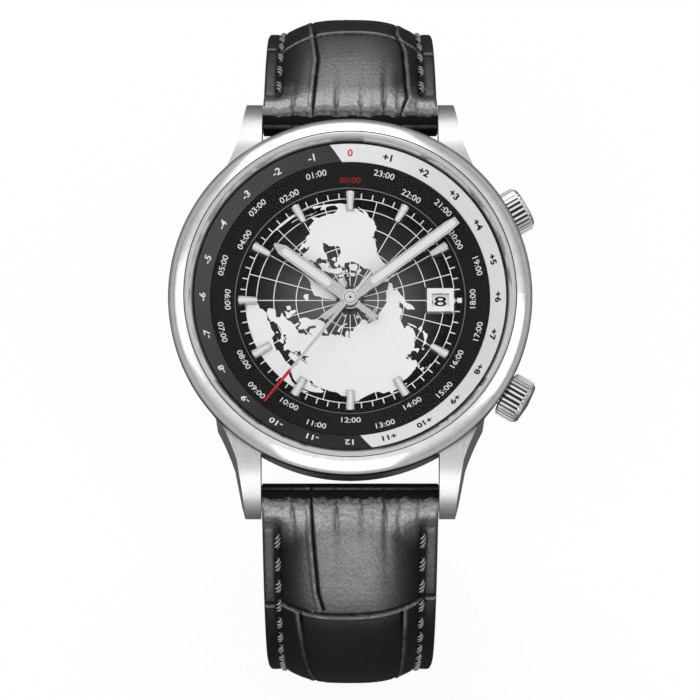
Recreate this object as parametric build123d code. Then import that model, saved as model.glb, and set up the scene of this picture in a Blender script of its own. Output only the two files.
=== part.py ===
from build123d import *
import math
import os

# A world time wristwatch with two crowns, an automatic movement and a padded leather strap.
# The origin is the centre of the back's outer face, +Z looks out of the dial, +Y is 12 o'clock.
# All lengths are in millimetres, angles in degrees, counted from 3 o'clock towards 12 o'clock.

# General fits
running_gap = 0.05
free_gap = 0.1
cut_overrun = 1.0

# Case
case_radius = 19.8
case_foot_radius = 18.9
case_foot_rise = 1.1
case_bottom = 1.2
case_top = 9.2
case_bore = 16.5
ring_seat_radius = 17.6
ring_seat_height = 8.2
gasket_groove_radius = 16.9
gasket_height = 0.5

# Lugs and strap gap
lug_gap = 20.1
lug_tip_reach = 24.15
lug_tip_height = 2.1
lug_shoulder_reach = 15.4
lug_crest_reach = 21.2
lug_crest_height = 6.9
lug_nose_reach = 23.75
lug_nose_height = 3.3
lug_heel_reach = 22.4
lug_heel_height = 0.5
lug_sole_height = 1.5
lug_root_width = 15.9
lug_waist_width = 15.1
lug_waist_reach = 14.0
lug_neck_width = 13.1
lug_neck_reach = 18.5
lug_tip_width = 11.75
lug_waist_hollow = 0.11
lug_root_reach = 10.0
lug_draft = 2.5
spring_bar_reach = 22.1
spring_bar_height = 2.2
spring_bar_radius = 0.75
spring_bar_pin_radius = 0.4
spring_bar_pin_length = 1.0

# Bezel and crystal
bezel_radius = 20.5
bezel_edge_height = 0.75
bezel_top = 11.75
bezel_crown_radius = 18.7
bezel_swell_radius = 19.9
bezel_swell_height = 11.05
bezel_foot_chamfer = 0.25
crystal_seat_height = 10.5
crystal_radius = 18.2
crystal_thickness = 1.65
crystal_chamfer = 0.4
crystal_gasket_width = 0.3
crystal_gasket_height = 1.0
bezel_inner_chamfer = 0.2

# Back
back_radius = 17.6
back_chamfer = 0.8
back_window_radius = 12.5
back_glass_radius = 13.0
back_glass_thickness = 1.1
back_glass_lip = 0.45
back_neck_radius = 16.4
back_neck_inner = 15.9
back_neck_top = 2.2
back_notch_count = 6
back_notch_radius = 0.9
back_notch_place = 17.3

# Number ring and world ring
number_ring_inner = 15.8
number_ring_outer = 17.5
number_ring_inner_top = 8.95
number_ring_outer_top = 10.35
world_ring_inner = 13.0
world_ring_outer = 15.7
world_ring_lip_bottom = 7.65
world_ring_lip_top = 7.75
world_ring_outer_top = 8.9
world_ring_flange = 16.05
world_ring_flange_bottom = 7.6
world_ring_flange_top = 8.1
world_ring_underside = 6.95
world_ring_skirt_inner = 14.1
world_ring_tooth_depth = 0.6
world_ring_tooth_inner = 14.2
world_ring_tooth_length = 1.45
world_ring_tooth_width = 0.58
world_ring_teeth = 72

# Dial and what stands on it
dial_radius = 13.15
dial_bottom = 7.2
dial_thickness = 0.4
dial_hole_radius = 0.95
dial_foot_radius = 0.35
dial_foot_length = 1.6
dial_foot_place = 12.65
date_window_place = 10.2
date_window_length = 1.95
date_window_width = 1.5
date_frame_length = 3.46
date_frame_width = 3.1
date_frame_height = 0.35
date_frame_bevel = 0.22
marker_inner = 10.3
marker_outer = 12.8
marker_inner_width = 1.0
marker_outer_width = 1.4
marker_height = 0.4
marker_bevel = 0.22
date_ring_inner = 8.9
date_ring_outer = 12.1
date_ring_bottom = 6.4
date_ring_thickness = 0.6
date_teeth = 31
date_tooth_depth = 0.5

# Hands
hour_hand_length = 10.8
hour_hand_tail = 3.7
hour_hand_half_width = 0.75
hour_hand_bottom = 8.2
minute_hand_length = 15.2
minute_hand_tail = 3.9
minute_hand_half_width = 0.72
minute_hand_bottom = 8.78
hand_thickness = 0.25
hand_tip_length = 1.3
hour_hand_tip_half_width = 0.2
minute_hand_tip_half_width = 0.55
hand_waist_half_width = 0.45
hand_bevel = 0.1
seconds_hand_length = 15.3
seconds_hand_tail = 3.9
seconds_hand_half_width = 0.14
seconds_hand_tip_half_width = 0.06
seconds_hand_bottom = 9.15
seconds_hand_thickness = 0.15
hub_radius = 0.88
hour_hub_radius = 1.15
hub_top = 9.5
hour_hand_angle = 90 - 306.5
minute_hand_angle = 90 - 53.3
seconds_hand_angle = 90 - 219.0

# Movement plates
movement_radius = 13.0
plate_bottom = 4.8
plate_top = 6.0
plate_rim_inner = 12.3
plate_boss_outer = 8.7
plate_boss_inner = 8.2
movement_ring_outer = 16.45
movement_ring_bottom = 2.6
movement_ring_top = 6.1
movement_ring_shoulder = 7.5
bridge_bottom = 2.6
bridge_top = 3.2
bridge_radius = 12.4
bridge_boss_radius = 2.0
pillar_radius = 0.8
screw_radius = 0.3
screw_head_radius = 0.5
screw_head_height = 0.3
screw_slot_width = 0.12
screw_slot_depth = 0.12
pillar_ring_radius = 11.4
barrel_bridge_angles = (-12, 128)
train_bridge_angles = (132, 250)
barrel_bridge_screw_angles = (-6, 22, 118)
train_bridge_screw_angles = (142, 190, 240)
escape_arm_width = 1.8
escape_arm_end_radius = 1.2
clamp_angles = (90, 270)
clamp_inner = 14.4
clamp_outer = 17.0
clamp_width = 3.0
clamp_screw_place = 15.2
clamp_screw_depth = 1.4

# Going train: places of the arbors and the sizes of the wheels
arbor_radius = 0.2
third_distance = 5.4
third_angle = 160.0
escape_distance = 5.4
escape_angle = 270.0
barrel_distance = 6.6
barrel_angle = 60.0
minute_wheel_distance = 2.4
minute_wheel_angle = 200.0
pallet_x = 0.6
pallet_y = -8.0
balance_x = 3.1
balance_y = -8.3
cock_foot_x = 8.3
cock_foot_y = -7.7
centre_teeth = 48
third_pinion_teeth = 6
third_teeth = 45
fourth_pinion_teeth = 6
fourth_teeth = 60
escape_pinion_teeth = 6
escape_teeth = 15
barrel_teeth = 64
centre_pinion_teeth = 8
cannon_teeth = 12
minute_teeth = 36
minute_pinion_teeth = 10
hour_teeth = 40
centre_wheel_bottom = 4.45
third_wheel_bottom = 3.45
fourth_wheel_bottom = 3.95
escape_wheel_bottom = 4.2
wheel_thickness = 0.2
pinion_margin = 0.12
escape_wheel_radius = 2.2
escape_tooth_depth = 0.55
rim_width = 0.55
wheel_depth_share = 0.7
wheel_hub_share = 1.6
window_hub_turn = 24.0
window_rim_turn = 36.0
leaf_depth_share = 0.6
leaf_tip_share = 0.1
leaf_root_share = 0.24
centre_tube_outer = 0.42
centre_tube_bottom = 4.4
centre_pinion_bottom = 4.75
centre_pinion_height = 0.5
barrel_bottom = 4.85
barrel_height = 0.85
barrel_drum_radius = 5.5
barrel_arbor_radius = 0.6
barrel_arbor_bottom = 2.7
cannon_bottom = 6.1
cannon_height = 0.5
cannon_tube_outer = 0.55
hour_wheel_bottom = 6.75
hour_tube_outer = 0.8
minute_wheel_bottom = 6.2
balance_radius = 3.4
balance_bottom = 3.65
balance_height = 0.35
balance_staff_bottom = 3.0
roller_radius = 0.55
roller_top = 4.15
hairspring_bottom = 3.35
hairspring_height = 0.12
hairspring_inner = 0.45
hairspring_outer = 1.75
hairspring_blade = 0.06
hairspring_turns = 6
pallet_fork_bottom = 4.2
pallet_fork_thickness = 0.15
pallet_fork_half_width = 0.18
pallet_arm_reach = 1.5
pallet_lever_length = 1.9

# Rotor
rotor_post_radius = 1.2
rotor_post_bottom = 1.4
rotor_cap_radius = 1.7
rotor_cap_bottom = 1.2
rotor_hub_radius = 2.6
rotor_bottom = 1.45
rotor_web_thickness = 0.35
rotor_rim_inner = 10.4
rotor_rim_outer = 12.5
rotor_rim_height = 0.95
rotor_angle = 200.0
rotor_window_inner = 3.6
rotor_window_outer = 9.6
rotor_window_half_angle = 32.0

# Crowns and stems
crown_height = 4.9
ring_crown_angle = 30.0
setting_crown_angle = -30.0
crown_radius = 2.6
crown_flutes = 28
crown_flute_depth = 0.22
flute_tip_share = 0.2
flute_root_share = 0.36
crown_case_gap = 0.4
crown_length = 3.0
crown_inner_reach = case_radius + crown_case_gap
crown_outer_reach = crown_inner_reach + crown_length
crown_chamfer = 0.45
crown_foot_chamfer = 0.225
crown_dome = 0.25
crown_recess_radius = 1.7
crown_recess_depth = 1.6
tube_radius = 1.6
tube_bore_gap = 0.1
tube_crown_lap = 1.15
tube_inner_reach = case_bore + tube_bore_gap
tube_outer_reach = crown_inner_reach + tube_crown_lap
stem_radius = 0.6
gasket_thickness = 0.3
ring_stem_inner_reach = 14.0
pinion_inner_reach = 14.25
pinion_length = 1.3
ring_pinion_teeth = 8
ring_pinion_radius = 1.655
ring_pinion_addendum = 0.25
ring_pinion_dedendum = 0.32
ring_pinion_root_share = 0.3
pinion_pocket_radius = 2.1
setting_stem_inner_reach = 7.3
winding_pinion_inner_reach = 9.0
winding_pinion_length = 1.2
winding_pinion_radius = 0.85
winding_pinion_teeth = 10
winding_pinion_tip_share = 0.15
winding_pinion_root_share = 0.3
stem_slot_width = 2.0
stem_slot_reach = 7.0

# Strap
strap_lug_width = 19.8
strap_buckle_width = 18.0
strap_upper_thickness = 1.5
strap_lining_thickness = 0.9
strap_border = 1.8
strap_crown_height = 1.75
crest_shares = ((0.7, 0.62), (0.48, 0.92))
padding_hold_share = 0.3
padding_end_share = 0.85
strap_crown_end_height = 0.25
strap_eye_radius = 2.3
strap_eye_rise = 0.9
strap_eye_shift = 0.2
strap_eye_border_rise = 1.5
strap_eye_crown_height = 1.7
strap_shoulder_length = 3.5
strap_lining_start = 2.4
strap_start_slope = 25.0
shoulder_arc_radius = 24.0
short_strap_arc_radius = 50.0
long_strap_flank_radius = 80.0
long_strap_flank_turn = 13.0
long_strap_fall_radius = 280.0
short_strap_length = 78.6
long_strap_length = 113.5
strap_stations = 20
tip_length = 7.0
tip_half_width_shares = ((1.0, 0.0), (0.93, 0.45), (0.74, 0.75), (0.4, 1.0))
hole_count = 6
hole_pitch = 7.0
first_hole_from_tip = 26.0
hole_radius = 0.8

# Buckle and keepers
buckle_bar_radius = 0.75
buckle_eye_radius = 1.6
buckle_eye_width = 15.0
buckle_outer_width = 22.0
buckle_inner_width = 18.6
buckle_length = 12.0
buckle_far_bar = 2.0
buckle_ear = 1.6
buckle_corner = 1.1
buckle_thickness = 2.0
buckle_rounding = 0.5
tang_width = 1.9
tang_thickness = 0.9
tang_slot_width = 2.6
tang_slot_length = 5.0
keeper_width = 5.0
keeper_wall = 1.0
keeper_side_gap = 0.3
keeper_under_gap = 0.3
keeper_tail_gap = 3.0
fixed_keeper_place = 8.0
sliding_keeper_place = 19.0


def turned(points):
    """A body turned about the watch's axis from (radius, height) points."""
    profile = make_face(Polyline(*[(radius, 0, height) for radius, height in points], close=True))
    return revolve(profile, Axis.Z)


def ring(outer, inner, bottom, top):
    """A plain ring or, with no inner radius, a disc."""
    return turned([(inner, bottom), (outer, bottom), (outer, top), (inner, top)])


def pin(radius, bottom, top, x=0, y=0):
    """An upright round pin."""
    return Pos(x, y, bottom) * extrude(Circle(radius), amount=top - bottom)


def plate(points, bottom, thickness):
    """A flat plate from its plan outline."""
    return Pos(0, 0, bottom) * extrude(make_face(Polyline(*points, close=True)), amount=thickness)


def polar(distance, angle):
    """The plan point at a distance and an angle from the watch's axis."""
    return distance * math.cos(math.radians(angle)), distance * math.sin(math.radians(angle))


def radial(angle):
    """The place of a crown's axis: its own +Z looks out of the case at the angle."""
    return Pos(0, 0, crown_height) * Rot(0, 0, angle) * Rot(0, 90, 0)


def toothed(teeth, tip_radius, root_radius, thickness, tooth_angle, tip_share=0.0, root_share=0.0):
    """A toothed disc with one tooth centred at tooth_angle; the shares are parts of the pitch."""
    outline = []
    for tooth in range(teeth):
        centre = tooth_angle + tooth * 360 / teeth
        if root_share:
            corners = [(root_radius, -root_share), (tip_radius, -tip_share), (tip_radius, tip_share)]
            corners.append((root_radius, root_share))
        else:
            corners = [(root_radius, -0.5), (tip_radius, 0)]
        for radius, turn_share in corners:
            outline.append(polar(radius, centre + turn_share * 360 / teeth))
    return extrude(make_face(Polyline(*outline, close=True)), amount=thickness)


def wheel(teeth, pitch_radius, tooth_angle):
    """A spoked train wheel with pointed teeth, lying at height zero."""
    half_depth = pitch_radius * math.pi / teeth * wheel_depth_share
    body = toothed(teeth, pitch_radius + half_depth, pitch_radius - half_depth, wheel_thickness, tooth_angle)
    rim = pitch_radius - half_depth - rim_width
    hub = rim_width * wheel_hub_share
    for window in range(4):
        corners = [(hub, -window_hub_turn), (rim, -window_rim_turn), (rim, -window_rim_turn / 3),
                   (rim, window_rim_turn / 3), (rim, window_rim_turn), (hub, window_hub_turn)]
        outline = [polar(radius, window * 90 + turn) for radius, turn in corners]
        body -= plate(outline, -cut_overrun, wheel_thickness + 2 * cut_overrun)
    return body


def leaf_pinion(teeth, pitch_radius, height, tooth_angle):
    """A pinion with flat-topped leaves, standing at height zero."""
    half_depth = pitch_radius * math.pi / teeth * leaf_depth_share
    tip, root = pitch_radius + half_depth, pitch_radius - half_depth
    return toothed(teeth, tip, root, height, tooth_angle, leaf_tip_share, leaf_root_share)


def pitch_radii(distance, first_teeth, second_teeth):
    """The pitch radii of two meshing wheels from their centre distance."""
    return (distance * first_teeth / (first_teeth + second_teeth),
            distance * second_teeth / (first_teeth + second_teeth))


def mesh_angle(teeth, towards, with_tooth):
    """The angle of a tooth, for a tooth or a gap that points towards the mate."""
    return towards if with_tooth else towards + 180 / teeth


centre_pitch, third_pinion_pitch = pitch_radii(third_distance, centre_teeth, third_pinion_teeth)
third_pitch, fourth_pinion_pitch = pitch_radii(third_distance, third_teeth, fourth_pinion_teeth)
fourth_pitch, escape_pinion_pitch = pitch_radii(escape_distance, fourth_teeth, escape_pinion_teeth)
barrel_pitch, centre_pinion_pitch = pitch_radii(barrel_distance, barrel_teeth, centre_pinion_teeth)
minute_pitch, cannon_pitch = pitch_radii(minute_wheel_distance, minute_teeth, cannon_teeth)
hour_pitch, minute_pinion_pitch = pitch_radii(minute_wheel_distance, hour_teeth, minute_pinion_teeth)
third_x, third_y = polar(third_distance, third_angle)
escape_x, escape_y = polar(escape_distance, escape_angle)
barrel_x, barrel_y = polar(barrel_distance, barrel_angle)
minute_x, minute_y = polar(minute_wheel_distance, minute_wheel_angle)
dial_top = dial_bottom + dial_thickness
bore_fit = arbor_radius + running_gap


def lug(side, end):
    """One lug: its side profile and its drafted plan outline, each carried through the other."""
    lug_inner = lug_gap / 2
    shoulder_height = case_top - bezel_foot_chamfer
    outline_inner = lug_inner - cut_overrun
    outline_root = lug_root_reach - cut_overrun
    outline_tip = lug_tip_reach + cut_overrun
    profile = make_face(
        Polyline((lug_inner, lug_root_reach, lug_sole_height), (lug_inner, lug_root_reach, shoulder_height),
                 (lug_inner, lug_shoulder_reach, shoulder_height))
        + ThreePointArc((lug_inner, lug_shoulder_reach, shoulder_height),
                        (lug_inner, lug_crest_reach, lug_crest_height),
                        (lug_inner, lug_nose_reach, lug_nose_height))
        + Polyline((lug_inner, lug_nose_reach, lug_nose_height), (lug_inner, lug_tip_reach, lug_tip_height),
                   (lug_inner, lug_heel_reach, lug_heel_height), (lug_inner, lug_waist_reach, lug_sole_height),
                   (lug_inner, lug_root_reach, lug_sole_height)))
    outline = make_face(
        Polyline((outline_inner, outline_root), (lug_root_width, outline_root),
                 (lug_waist_width, lug_waist_reach))
        + ThreePointArc((lug_waist_width, lug_waist_reach),
                        ((lug_waist_width + lug_neck_width) / 2 - lug_waist_hollow,
                         (lug_waist_reach + lug_neck_reach) / 2),
                        (lug_neck_width, lug_neck_reach))
        + Polyline((lug_neck_width, lug_neck_reach), (lug_tip_width, outline_tip),
                   (outline_inner, outline_tip), (outline_inner, outline_root)))
    body = extrude(profile, amount=lug_root_width - lug_inner + cut_overrun, dir=(1, 0, 0))
    body = body & extrude(outline, amount=case_top, taper=lug_draft)
    if side < 0:
        body = mirror(body, about=Plane.YZ)
    if end < 0:
        body = mirror(body, about=Plane.XZ)
    return body


def mid_case():
    """The middle of the case with its four lugs, bored for the movement, the tubes and the bars."""
    body = turned([(0, case_bottom), (case_foot_radius, case_bottom),
                   (case_radius, case_bottom + case_foot_rise), (case_radius, case_top), (0, case_top)])
    for side in (1, -1):
        for end in (1, -1):
            body += lug(side, end)
    body -= pin(case_bore, -cut_overrun, case_top + cut_overrun)
    body -= pin(ring_seat_radius, ring_seat_height, case_top + cut_overrun)
    body -= pin(gasket_groove_radius, 0, case_bottom + gasket_height)
    for angle in (ring_crown_angle, setting_crown_angle):
        body -= radial(angle) * pin(tube_radius, case_bore - cut_overrun, case_radius + cut_overrun)
    for angle in clamp_angles:
        groove = Pos((clamp_outer + case_bore) / 2, 0, (back_neck_top + movement_ring_bottom) / 2) * Box(
            clamp_outer - case_bore + cut_overrun, clamp_width + 2 * free_gap,
            movement_ring_bottom - back_neck_top)
        groove = Pos(-cut_overrun / 2, 0, 0) * groove
        body -= Rot(0, 0, angle) * groove
    pin_reach = lug_gap / 2 + spring_bar_pin_length
    for end in (1, -1):
        bar_axis = Pos(0, end * spring_bar_reach, spring_bar_height) * Rot(0, 90, 0)
        body -= bar_axis * pin(spring_bar_pin_radius + running_gap, -pin_reach, pin_reach)
    return body


def bezel():
    """The polished bezel: a convex ring over the case with the crystal's seat inside."""
    outer_foot = case_top + bezel_foot_chamfer
    edge_top = outer_foot + bezel_edge_height
    seat_wall = crystal_radius + crystal_gasket_width
    flanks = Polyline((bezel_crown_radius, 0, bezel_top), (seat_wall, 0, bezel_top - bezel_inner_chamfer),
                      (seat_wall, 0, crystal_seat_height), (ring_seat_radius, 0, crystal_seat_height),
                      (ring_seat_radius, 0, case_top), (bezel_radius - bezel_foot_chamfer, 0, case_top),
                      (bezel_radius, 0, outer_foot), (bezel_radius, 0, edge_top))
    swell = ThreePointArc((bezel_radius, 0, edge_top), (bezel_swell_radius, 0, bezel_swell_height),
                          (bezel_crown_radius, 0, bezel_top))
    return revolve(make_face(flanks + swell), Axis.Z)


def crystal():
    """The flat crystal with its ground edge."""
    top = crystal_seat_height + crystal_thickness
    return turned([(0, crystal_seat_height), (crystal_radius, crystal_seat_height),
                   (crystal_radius, top - crystal_chamfer), (crystal_radius - crystal_chamfer, top), (0, top)])


def crystal_gasket():
    """The seal pressed between the crystal and the bezel."""
    return ring(crystal_radius + crystal_gasket_width, crystal_radius, crystal_seat_height,
                crystal_seat_height + crystal_gasket_height)


def case_back():
    """The back: a ring with a window, a neck that enters the case and notches for the opening key."""
    body = turned([(back_window_radius, 0), (back_radius - back_chamfer, 0), (back_radius, back_chamfer),
                   (back_radius, case_bottom), (back_neck_radius, case_bottom),
                   (back_neck_radius, back_neck_top), (back_neck_inner, back_neck_top),
                   (back_neck_inner, back_glass_thickness), (back_glass_radius, back_glass_thickness),
                   (back_glass_radius, back_glass_lip), (back_window_radius, back_glass_lip)])
    for notch in range(back_notch_count):
        x, y = polar(back_notch_place, notch * 360 / back_notch_count)
        body -= pin(back_notch_radius, -cut_overrun, back_glass_lip, x, y)
    return body


def back_glass():
    """The window of the back, stepped so that it seats from inside."""
    return turned([(0, 0), (back_window_radius, 0), (back_window_radius, back_glass_lip),
                   (back_glass_radius, back_glass_lip), (back_glass_radius, back_glass_thickness),
                   (0, back_glass_thickness)])


def back_gasket():
    """The seal between the back and the case."""
    return ring(gasket_groove_radius, back_neck_radius, case_bottom, case_bottom + gasket_height)


def movement_ring():
    """The ring that holds the movement in the case and carries the world ring on its lip."""
    lip_inner = world_ring_outer + free_gap
    body = turned([(movement_radius + running_gap, movement_ring_bottom),
                   (movement_ring_outer, movement_ring_bottom), (movement_ring_outer, ring_seat_height),
                   (world_ring_flange + running_gap, ring_seat_height),
                   (world_ring_flange + running_gap, movement_ring_shoulder),
                   (lip_inner, movement_ring_shoulder), (lip_inner, movement_ring_top),
                   (movement_radius + running_gap, movement_ring_top)])
    body -= radial(setting_crown_angle) * pin(stem_radius + free_gap, movement_radius - cut_overrun,
                                              movement_ring_outer + cut_overrun)
    body -= radial(ring_crown_angle) * pin(stem_radius + free_gap, ring_stem_inner_reach - free_gap,
                                           movement_ring_outer + cut_overrun)
    pocket = pin(pinion_pocket_radius, pinion_inner_reach - free_gap,
                 pinion_inner_reach + pinion_length + free_gap)
    body -= radial(ring_crown_angle) * pocket
    for angle in clamp_angles:
        x, y = polar(clamp_screw_place, angle)
        body -= pin(screw_radius, 0, movement_ring_bottom + clamp_screw_depth, x, y)
    return body


def case_clamps():
    """Two clamps that lock the movement ring to the case."""
    clamp = Pos((clamp_inner + clamp_outer) / 2, 0, (back_neck_top + movement_ring_bottom) / 2) * Box(
        clamp_outer - clamp_inner, clamp_width, movement_ring_bottom - back_neck_top)
    clamp -= pin(screw_radius, 0, movement_ring_bottom + cut_overrun, clamp_screw_place, 0)
    return [Rot(0, 0, angle) * clamp for angle in clamp_angles]


def screw(x, y, head_bottom, depth):
    """A slotted screw whose head looks towards the back."""
    body = pin(screw_head_radius, head_bottom, head_bottom + screw_head_height, x, y)
    body += pin(screw_radius, head_bottom, head_bottom + depth, x, y)
    slot = Box(2 * screw_head_radius + cut_overrun, screw_slot_width, 2 * screw_slot_depth)
    return body - Pos(x, y, head_bottom) * slot


def clamp_screws():
    """The two screws of the clamps."""
    places = [polar(clamp_screw_place, angle) for angle in clamp_angles]
    depth = movement_ring_bottom + clamp_screw_depth - back_neck_top + screw_head_height
    return [screw(x, y, back_neck_top - screw_head_height, depth) for x, y in places]


def offset_ring():
    """The fixed sloping number ring round the world ring."""
    rim = ring_seat_radius - running_gap
    return turned([(number_ring_inner, ring_seat_height), (rim, ring_seat_height),
                   (rim, number_ring_outer_top), (number_ring_outer, number_ring_outer_top),
                   (number_ring_inner, number_ring_inner_top)])


def world_ring():
    """The turning 24-hour ring with its guide flange and the face teeth under its skirt."""
    body = turned([(world_ring_inner, world_ring_lip_bottom), (world_ring_inner, world_ring_lip_top),
                   (world_ring_outer, world_ring_outer_top), (world_ring_outer, world_ring_flange_top),
                   (world_ring_flange, world_ring_flange_top), (world_ring_flange, world_ring_flange_bottom),
                   (world_ring_outer, world_ring_flange_bottom), (world_ring_outer, world_ring_underside),
                   (world_ring_skirt_inner, world_ring_underside),
                   (world_ring_skirt_inner, world_ring_lip_bottom)])
    tooth_middle = world_ring_tooth_inner + world_ring_tooth_length / 2
    tooth = Pos(tooth_middle, 0, world_ring_underside - world_ring_tooth_depth / 2) * Box(
        world_ring_tooth_length, world_ring_tooth_width, world_ring_tooth_depth)
    pitch = 360 / world_ring_teeth
    teeth = [Rot(0, 0, ring_crown_angle + (index + 0.5) * pitch) * tooth for index in range(world_ring_teeth)]
    return body + teeth


def dial():
    """The dial with its centre hole, date window and two feet."""
    body = ring(dial_radius, dial_hole_radius, dial_bottom, dial_top)
    body -= Pos(date_window_place, 0, dial_top) * Box(
        date_window_length, date_window_width, 2 * dial_thickness + cut_overrun)
    for angle in clamp_angles:
        x, y = polar(dial_foot_place, angle)
        body += pin(dial_foot_radius, dial_bottom - dial_foot_length, dial_bottom, x, y)
    return body


def raised(points, bottom, height, bevel):
    """A raised facetted block: its plan outline drawn in by the bevel at the top."""
    base = make_face(Polyline(*points, close=True))
    top = offset(base, -bevel, kind=Kind.INTERSECTION)
    return loft([Pos(0, 0, bottom) * base, Pos(0, 0, bottom + height) * top], ruled=True)


def hour_markers():
    """Eleven facetted hour batons; 3 o'clock has the date instead."""
    points = [(marker_inner, -marker_inner_width / 2), (marker_outer, -marker_outer_width / 2),
              (marker_outer, marker_outer_width / 2), (marker_inner, marker_inner_width / 2)]
    baton = raised(points, dial_top, marker_height, marker_bevel)
    return [Rot(0, 0, 30 * hour) * baton for hour in range(1, 12)]


def date_frame():
    """The applied bevelled frame round the date window."""
    half_length, half_width = date_frame_length / 2, date_frame_width / 2
    points = [(date_window_place - half_length, -half_width), (date_window_place + half_length, -half_width),
              (date_window_place + half_length, half_width), (date_window_place - half_length, half_width)]
    frame = raised(points, dial_top, date_frame_height, date_frame_bevel)
    return frame - Pos(date_window_place, 0, dial_top) * Box(
        date_window_length, date_window_width, 2 * date_frame_height + cut_overrun)


def date_ring():
    """The date disc, toothed on its inner edge."""
    body = ring(date_ring_outer, date_ring_inner + date_tooth_depth, 0, date_ring_thickness)
    rim = pin(date_ring_outer - date_tooth_depth, 0, date_ring_thickness)
    gaps = toothed(date_teeth, date_ring_inner + date_tooth_depth + running_gap, date_ring_inner,
                   date_ring_thickness, 0)
    return Pos(0, 0, date_ring_bottom) * (body + (rim - gaps))


def main_plate():
    """The movement's main plate with its rim, calendar boss, barrel recess, stem slot and bearings."""
    body = ring(movement_radius, 0, plate_bottom, plate_top)
    body += ring(movement_radius, plate_rim_inner, plate_top, dial_bottom)
    body += ring(plate_boss_outer, plate_boss_inner, plate_top, dial_bottom)
    tip = barrel_pitch * (1 + math.pi / barrel_teeth) + free_gap
    body -= pin(tip, 0, barrel_bottom + barrel_height + free_gap, barrel_x, barrel_y)
    body -= pin(centre_pinion_pitch * 2, 0, centre_pinion_bottom + centre_pinion_height + free_gap)
    body -= pin(centre_tube_outer + running_gap, 0, dial_bottom)
    body -= pin(barrel_arbor_radius + running_gap, 0, dial_bottom, barrel_x, barrel_y)
    for x, y in ((third_x, third_y), (escape_x, escape_y), (minute_x, minute_y),
                 (pallet_x, pallet_y), (balance_x, balance_y)):
        body -= pin(bore_fit, 0, plate_top + cut_overrun, x, y)
    for x, y in bridge_screw_places():
        body -= pin(screw_radius, 0, plate_bottom + screw_head_height, x, y)
    slot_length = movement_radius + cut_overrun - stem_slot_reach
    slot = Pos(stem_slot_reach + slot_length / 2, 0, crown_height) * Box(
        slot_length, stem_slot_width, 2 * (plate_top - crown_height))
    body -= Rot(0, 0, setting_crown_angle) * slot
    for angle in clamp_angles:
        x, y = polar(dial_foot_place, angle)
        body -= pin(dial_foot_radius, dial_bottom - dial_foot_length, dial_bottom, x, y)
    return body


def bridge_screw_places():
    """The plan places of the bridge screws and of the pillars under the bridges."""
    angles = barrel_bridge_screw_angles + train_bridge_screw_angles
    return [polar(pillar_ring_radius, angle) for angle in angles] + [(cock_foot_x, cock_foot_y)]


def sector(angles, radius, bottom, thickness):
    """A flat sector of a disc between two angles."""
    first, last = angles
    middle = (first + last) / 2
    outline = Line((0, 0), polar(radius, first))
    outline += ThreePointArc(polar(radius, first), polar(radius, middle), polar(radius, last))
    outline += Line(polar(radius, last), (0, 0))
    return Pos(0, 0, bottom) * extrude(make_face(outline), amount=thickness)


def bored_for_screws(body, places):
    """Pillars down to the main plate and counterbored screw holes at the places."""
    for x, y in places:
        body += pin(pillar_radius, bridge_bottom, plate_bottom, x, y)
    for x, y in places:
        body -= pin(screw_radius, 0, plate_bottom + cut_overrun, x, y)
        body -= pin(screw_head_radius, 0, bridge_bottom + screw_head_height, x, y)
    return body


def barrel_bridge():
    """The bridge over the mainspring barrel."""
    thickness = bridge_top - bridge_bottom
    body = sector(barrel_bridge_angles, bridge_radius, bridge_bottom, thickness)
    body -= pin(bridge_boss_radius + free_gap, 0, plate_bottom)
    places = [polar(pillar_ring_radius, angle) for angle in barrel_bridge_screw_angles]
    body = bored_for_screws(body, places)
    return body - pin(barrel_arbor_radius + running_gap, 0, plate_bottom, barrel_x, barrel_y)


def train_bridge():
    """The bridge over the train wheels, with the boss that carries the rotor's post."""
    thickness = bridge_top - bridge_bottom
    body = sector(train_bridge_angles, bridge_radius, bridge_bottom, thickness)
    body += pin(bridge_boss_radius, bridge_bottom, bridge_top)
    half = escape_arm_width / 2
    body += plate([(-half, 0), (half, 0), (half, escape_y), (-half, escape_y)], bridge_bottom, thickness)
    body += pin(escape_arm_end_radius, bridge_bottom, bridge_top, escape_x, escape_y)
    body -= pin(balance_radius + free_gap, 0, plate_bottom, balance_x, balance_y)
    places = [polar(pillar_ring_radius, angle) for angle in train_bridge_screw_angles]
    body = bored_for_screws(body, places)
    for x, y in ((0, 0), (third_x, third_y), (escape_x, escape_y)):
        body -= pin(bore_fit, bridge_bottom + thickness / 3, plate_bottom, x, y)
    return body


def balance_cock():
    """The cock that reaches from its foot over the balance."""
    thickness = bridge_top - bridge_bottom
    length = math.hypot(cock_foot_x - balance_x, cock_foot_y - balance_y)
    turn = math.degrees(math.atan2(cock_foot_y - balance_y, cock_foot_x - balance_x))
    wide, narrow = escape_arm_end_radius, pillar_radius
    arm = plate([(0, -narrow), (length, -wide), (length, wide), (0, narrow)], bridge_bottom, thickness)
    body = Pos(balance_x, balance_y) * Rot(0, 0, turn) * arm
    body += pin(narrow, bridge_bottom, bridge_top, balance_x, balance_y)
    body += pin(wide, bridge_bottom, bridge_top, cock_foot_x, cock_foot_y)
    body = bored_for_screws(body, [(cock_foot_x, cock_foot_y)])
    return body - pin(bore_fit, bridge_bottom + thickness / 3, plate_bottom, balance_x, balance_y)


def bridge_screws():
    """The screws of the three bridges."""
    depth = plate_bottom + screw_head_height - bridge_bottom
    return [screw(x, y, bridge_bottom, depth) for x, y in bridge_screw_places()]


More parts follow.
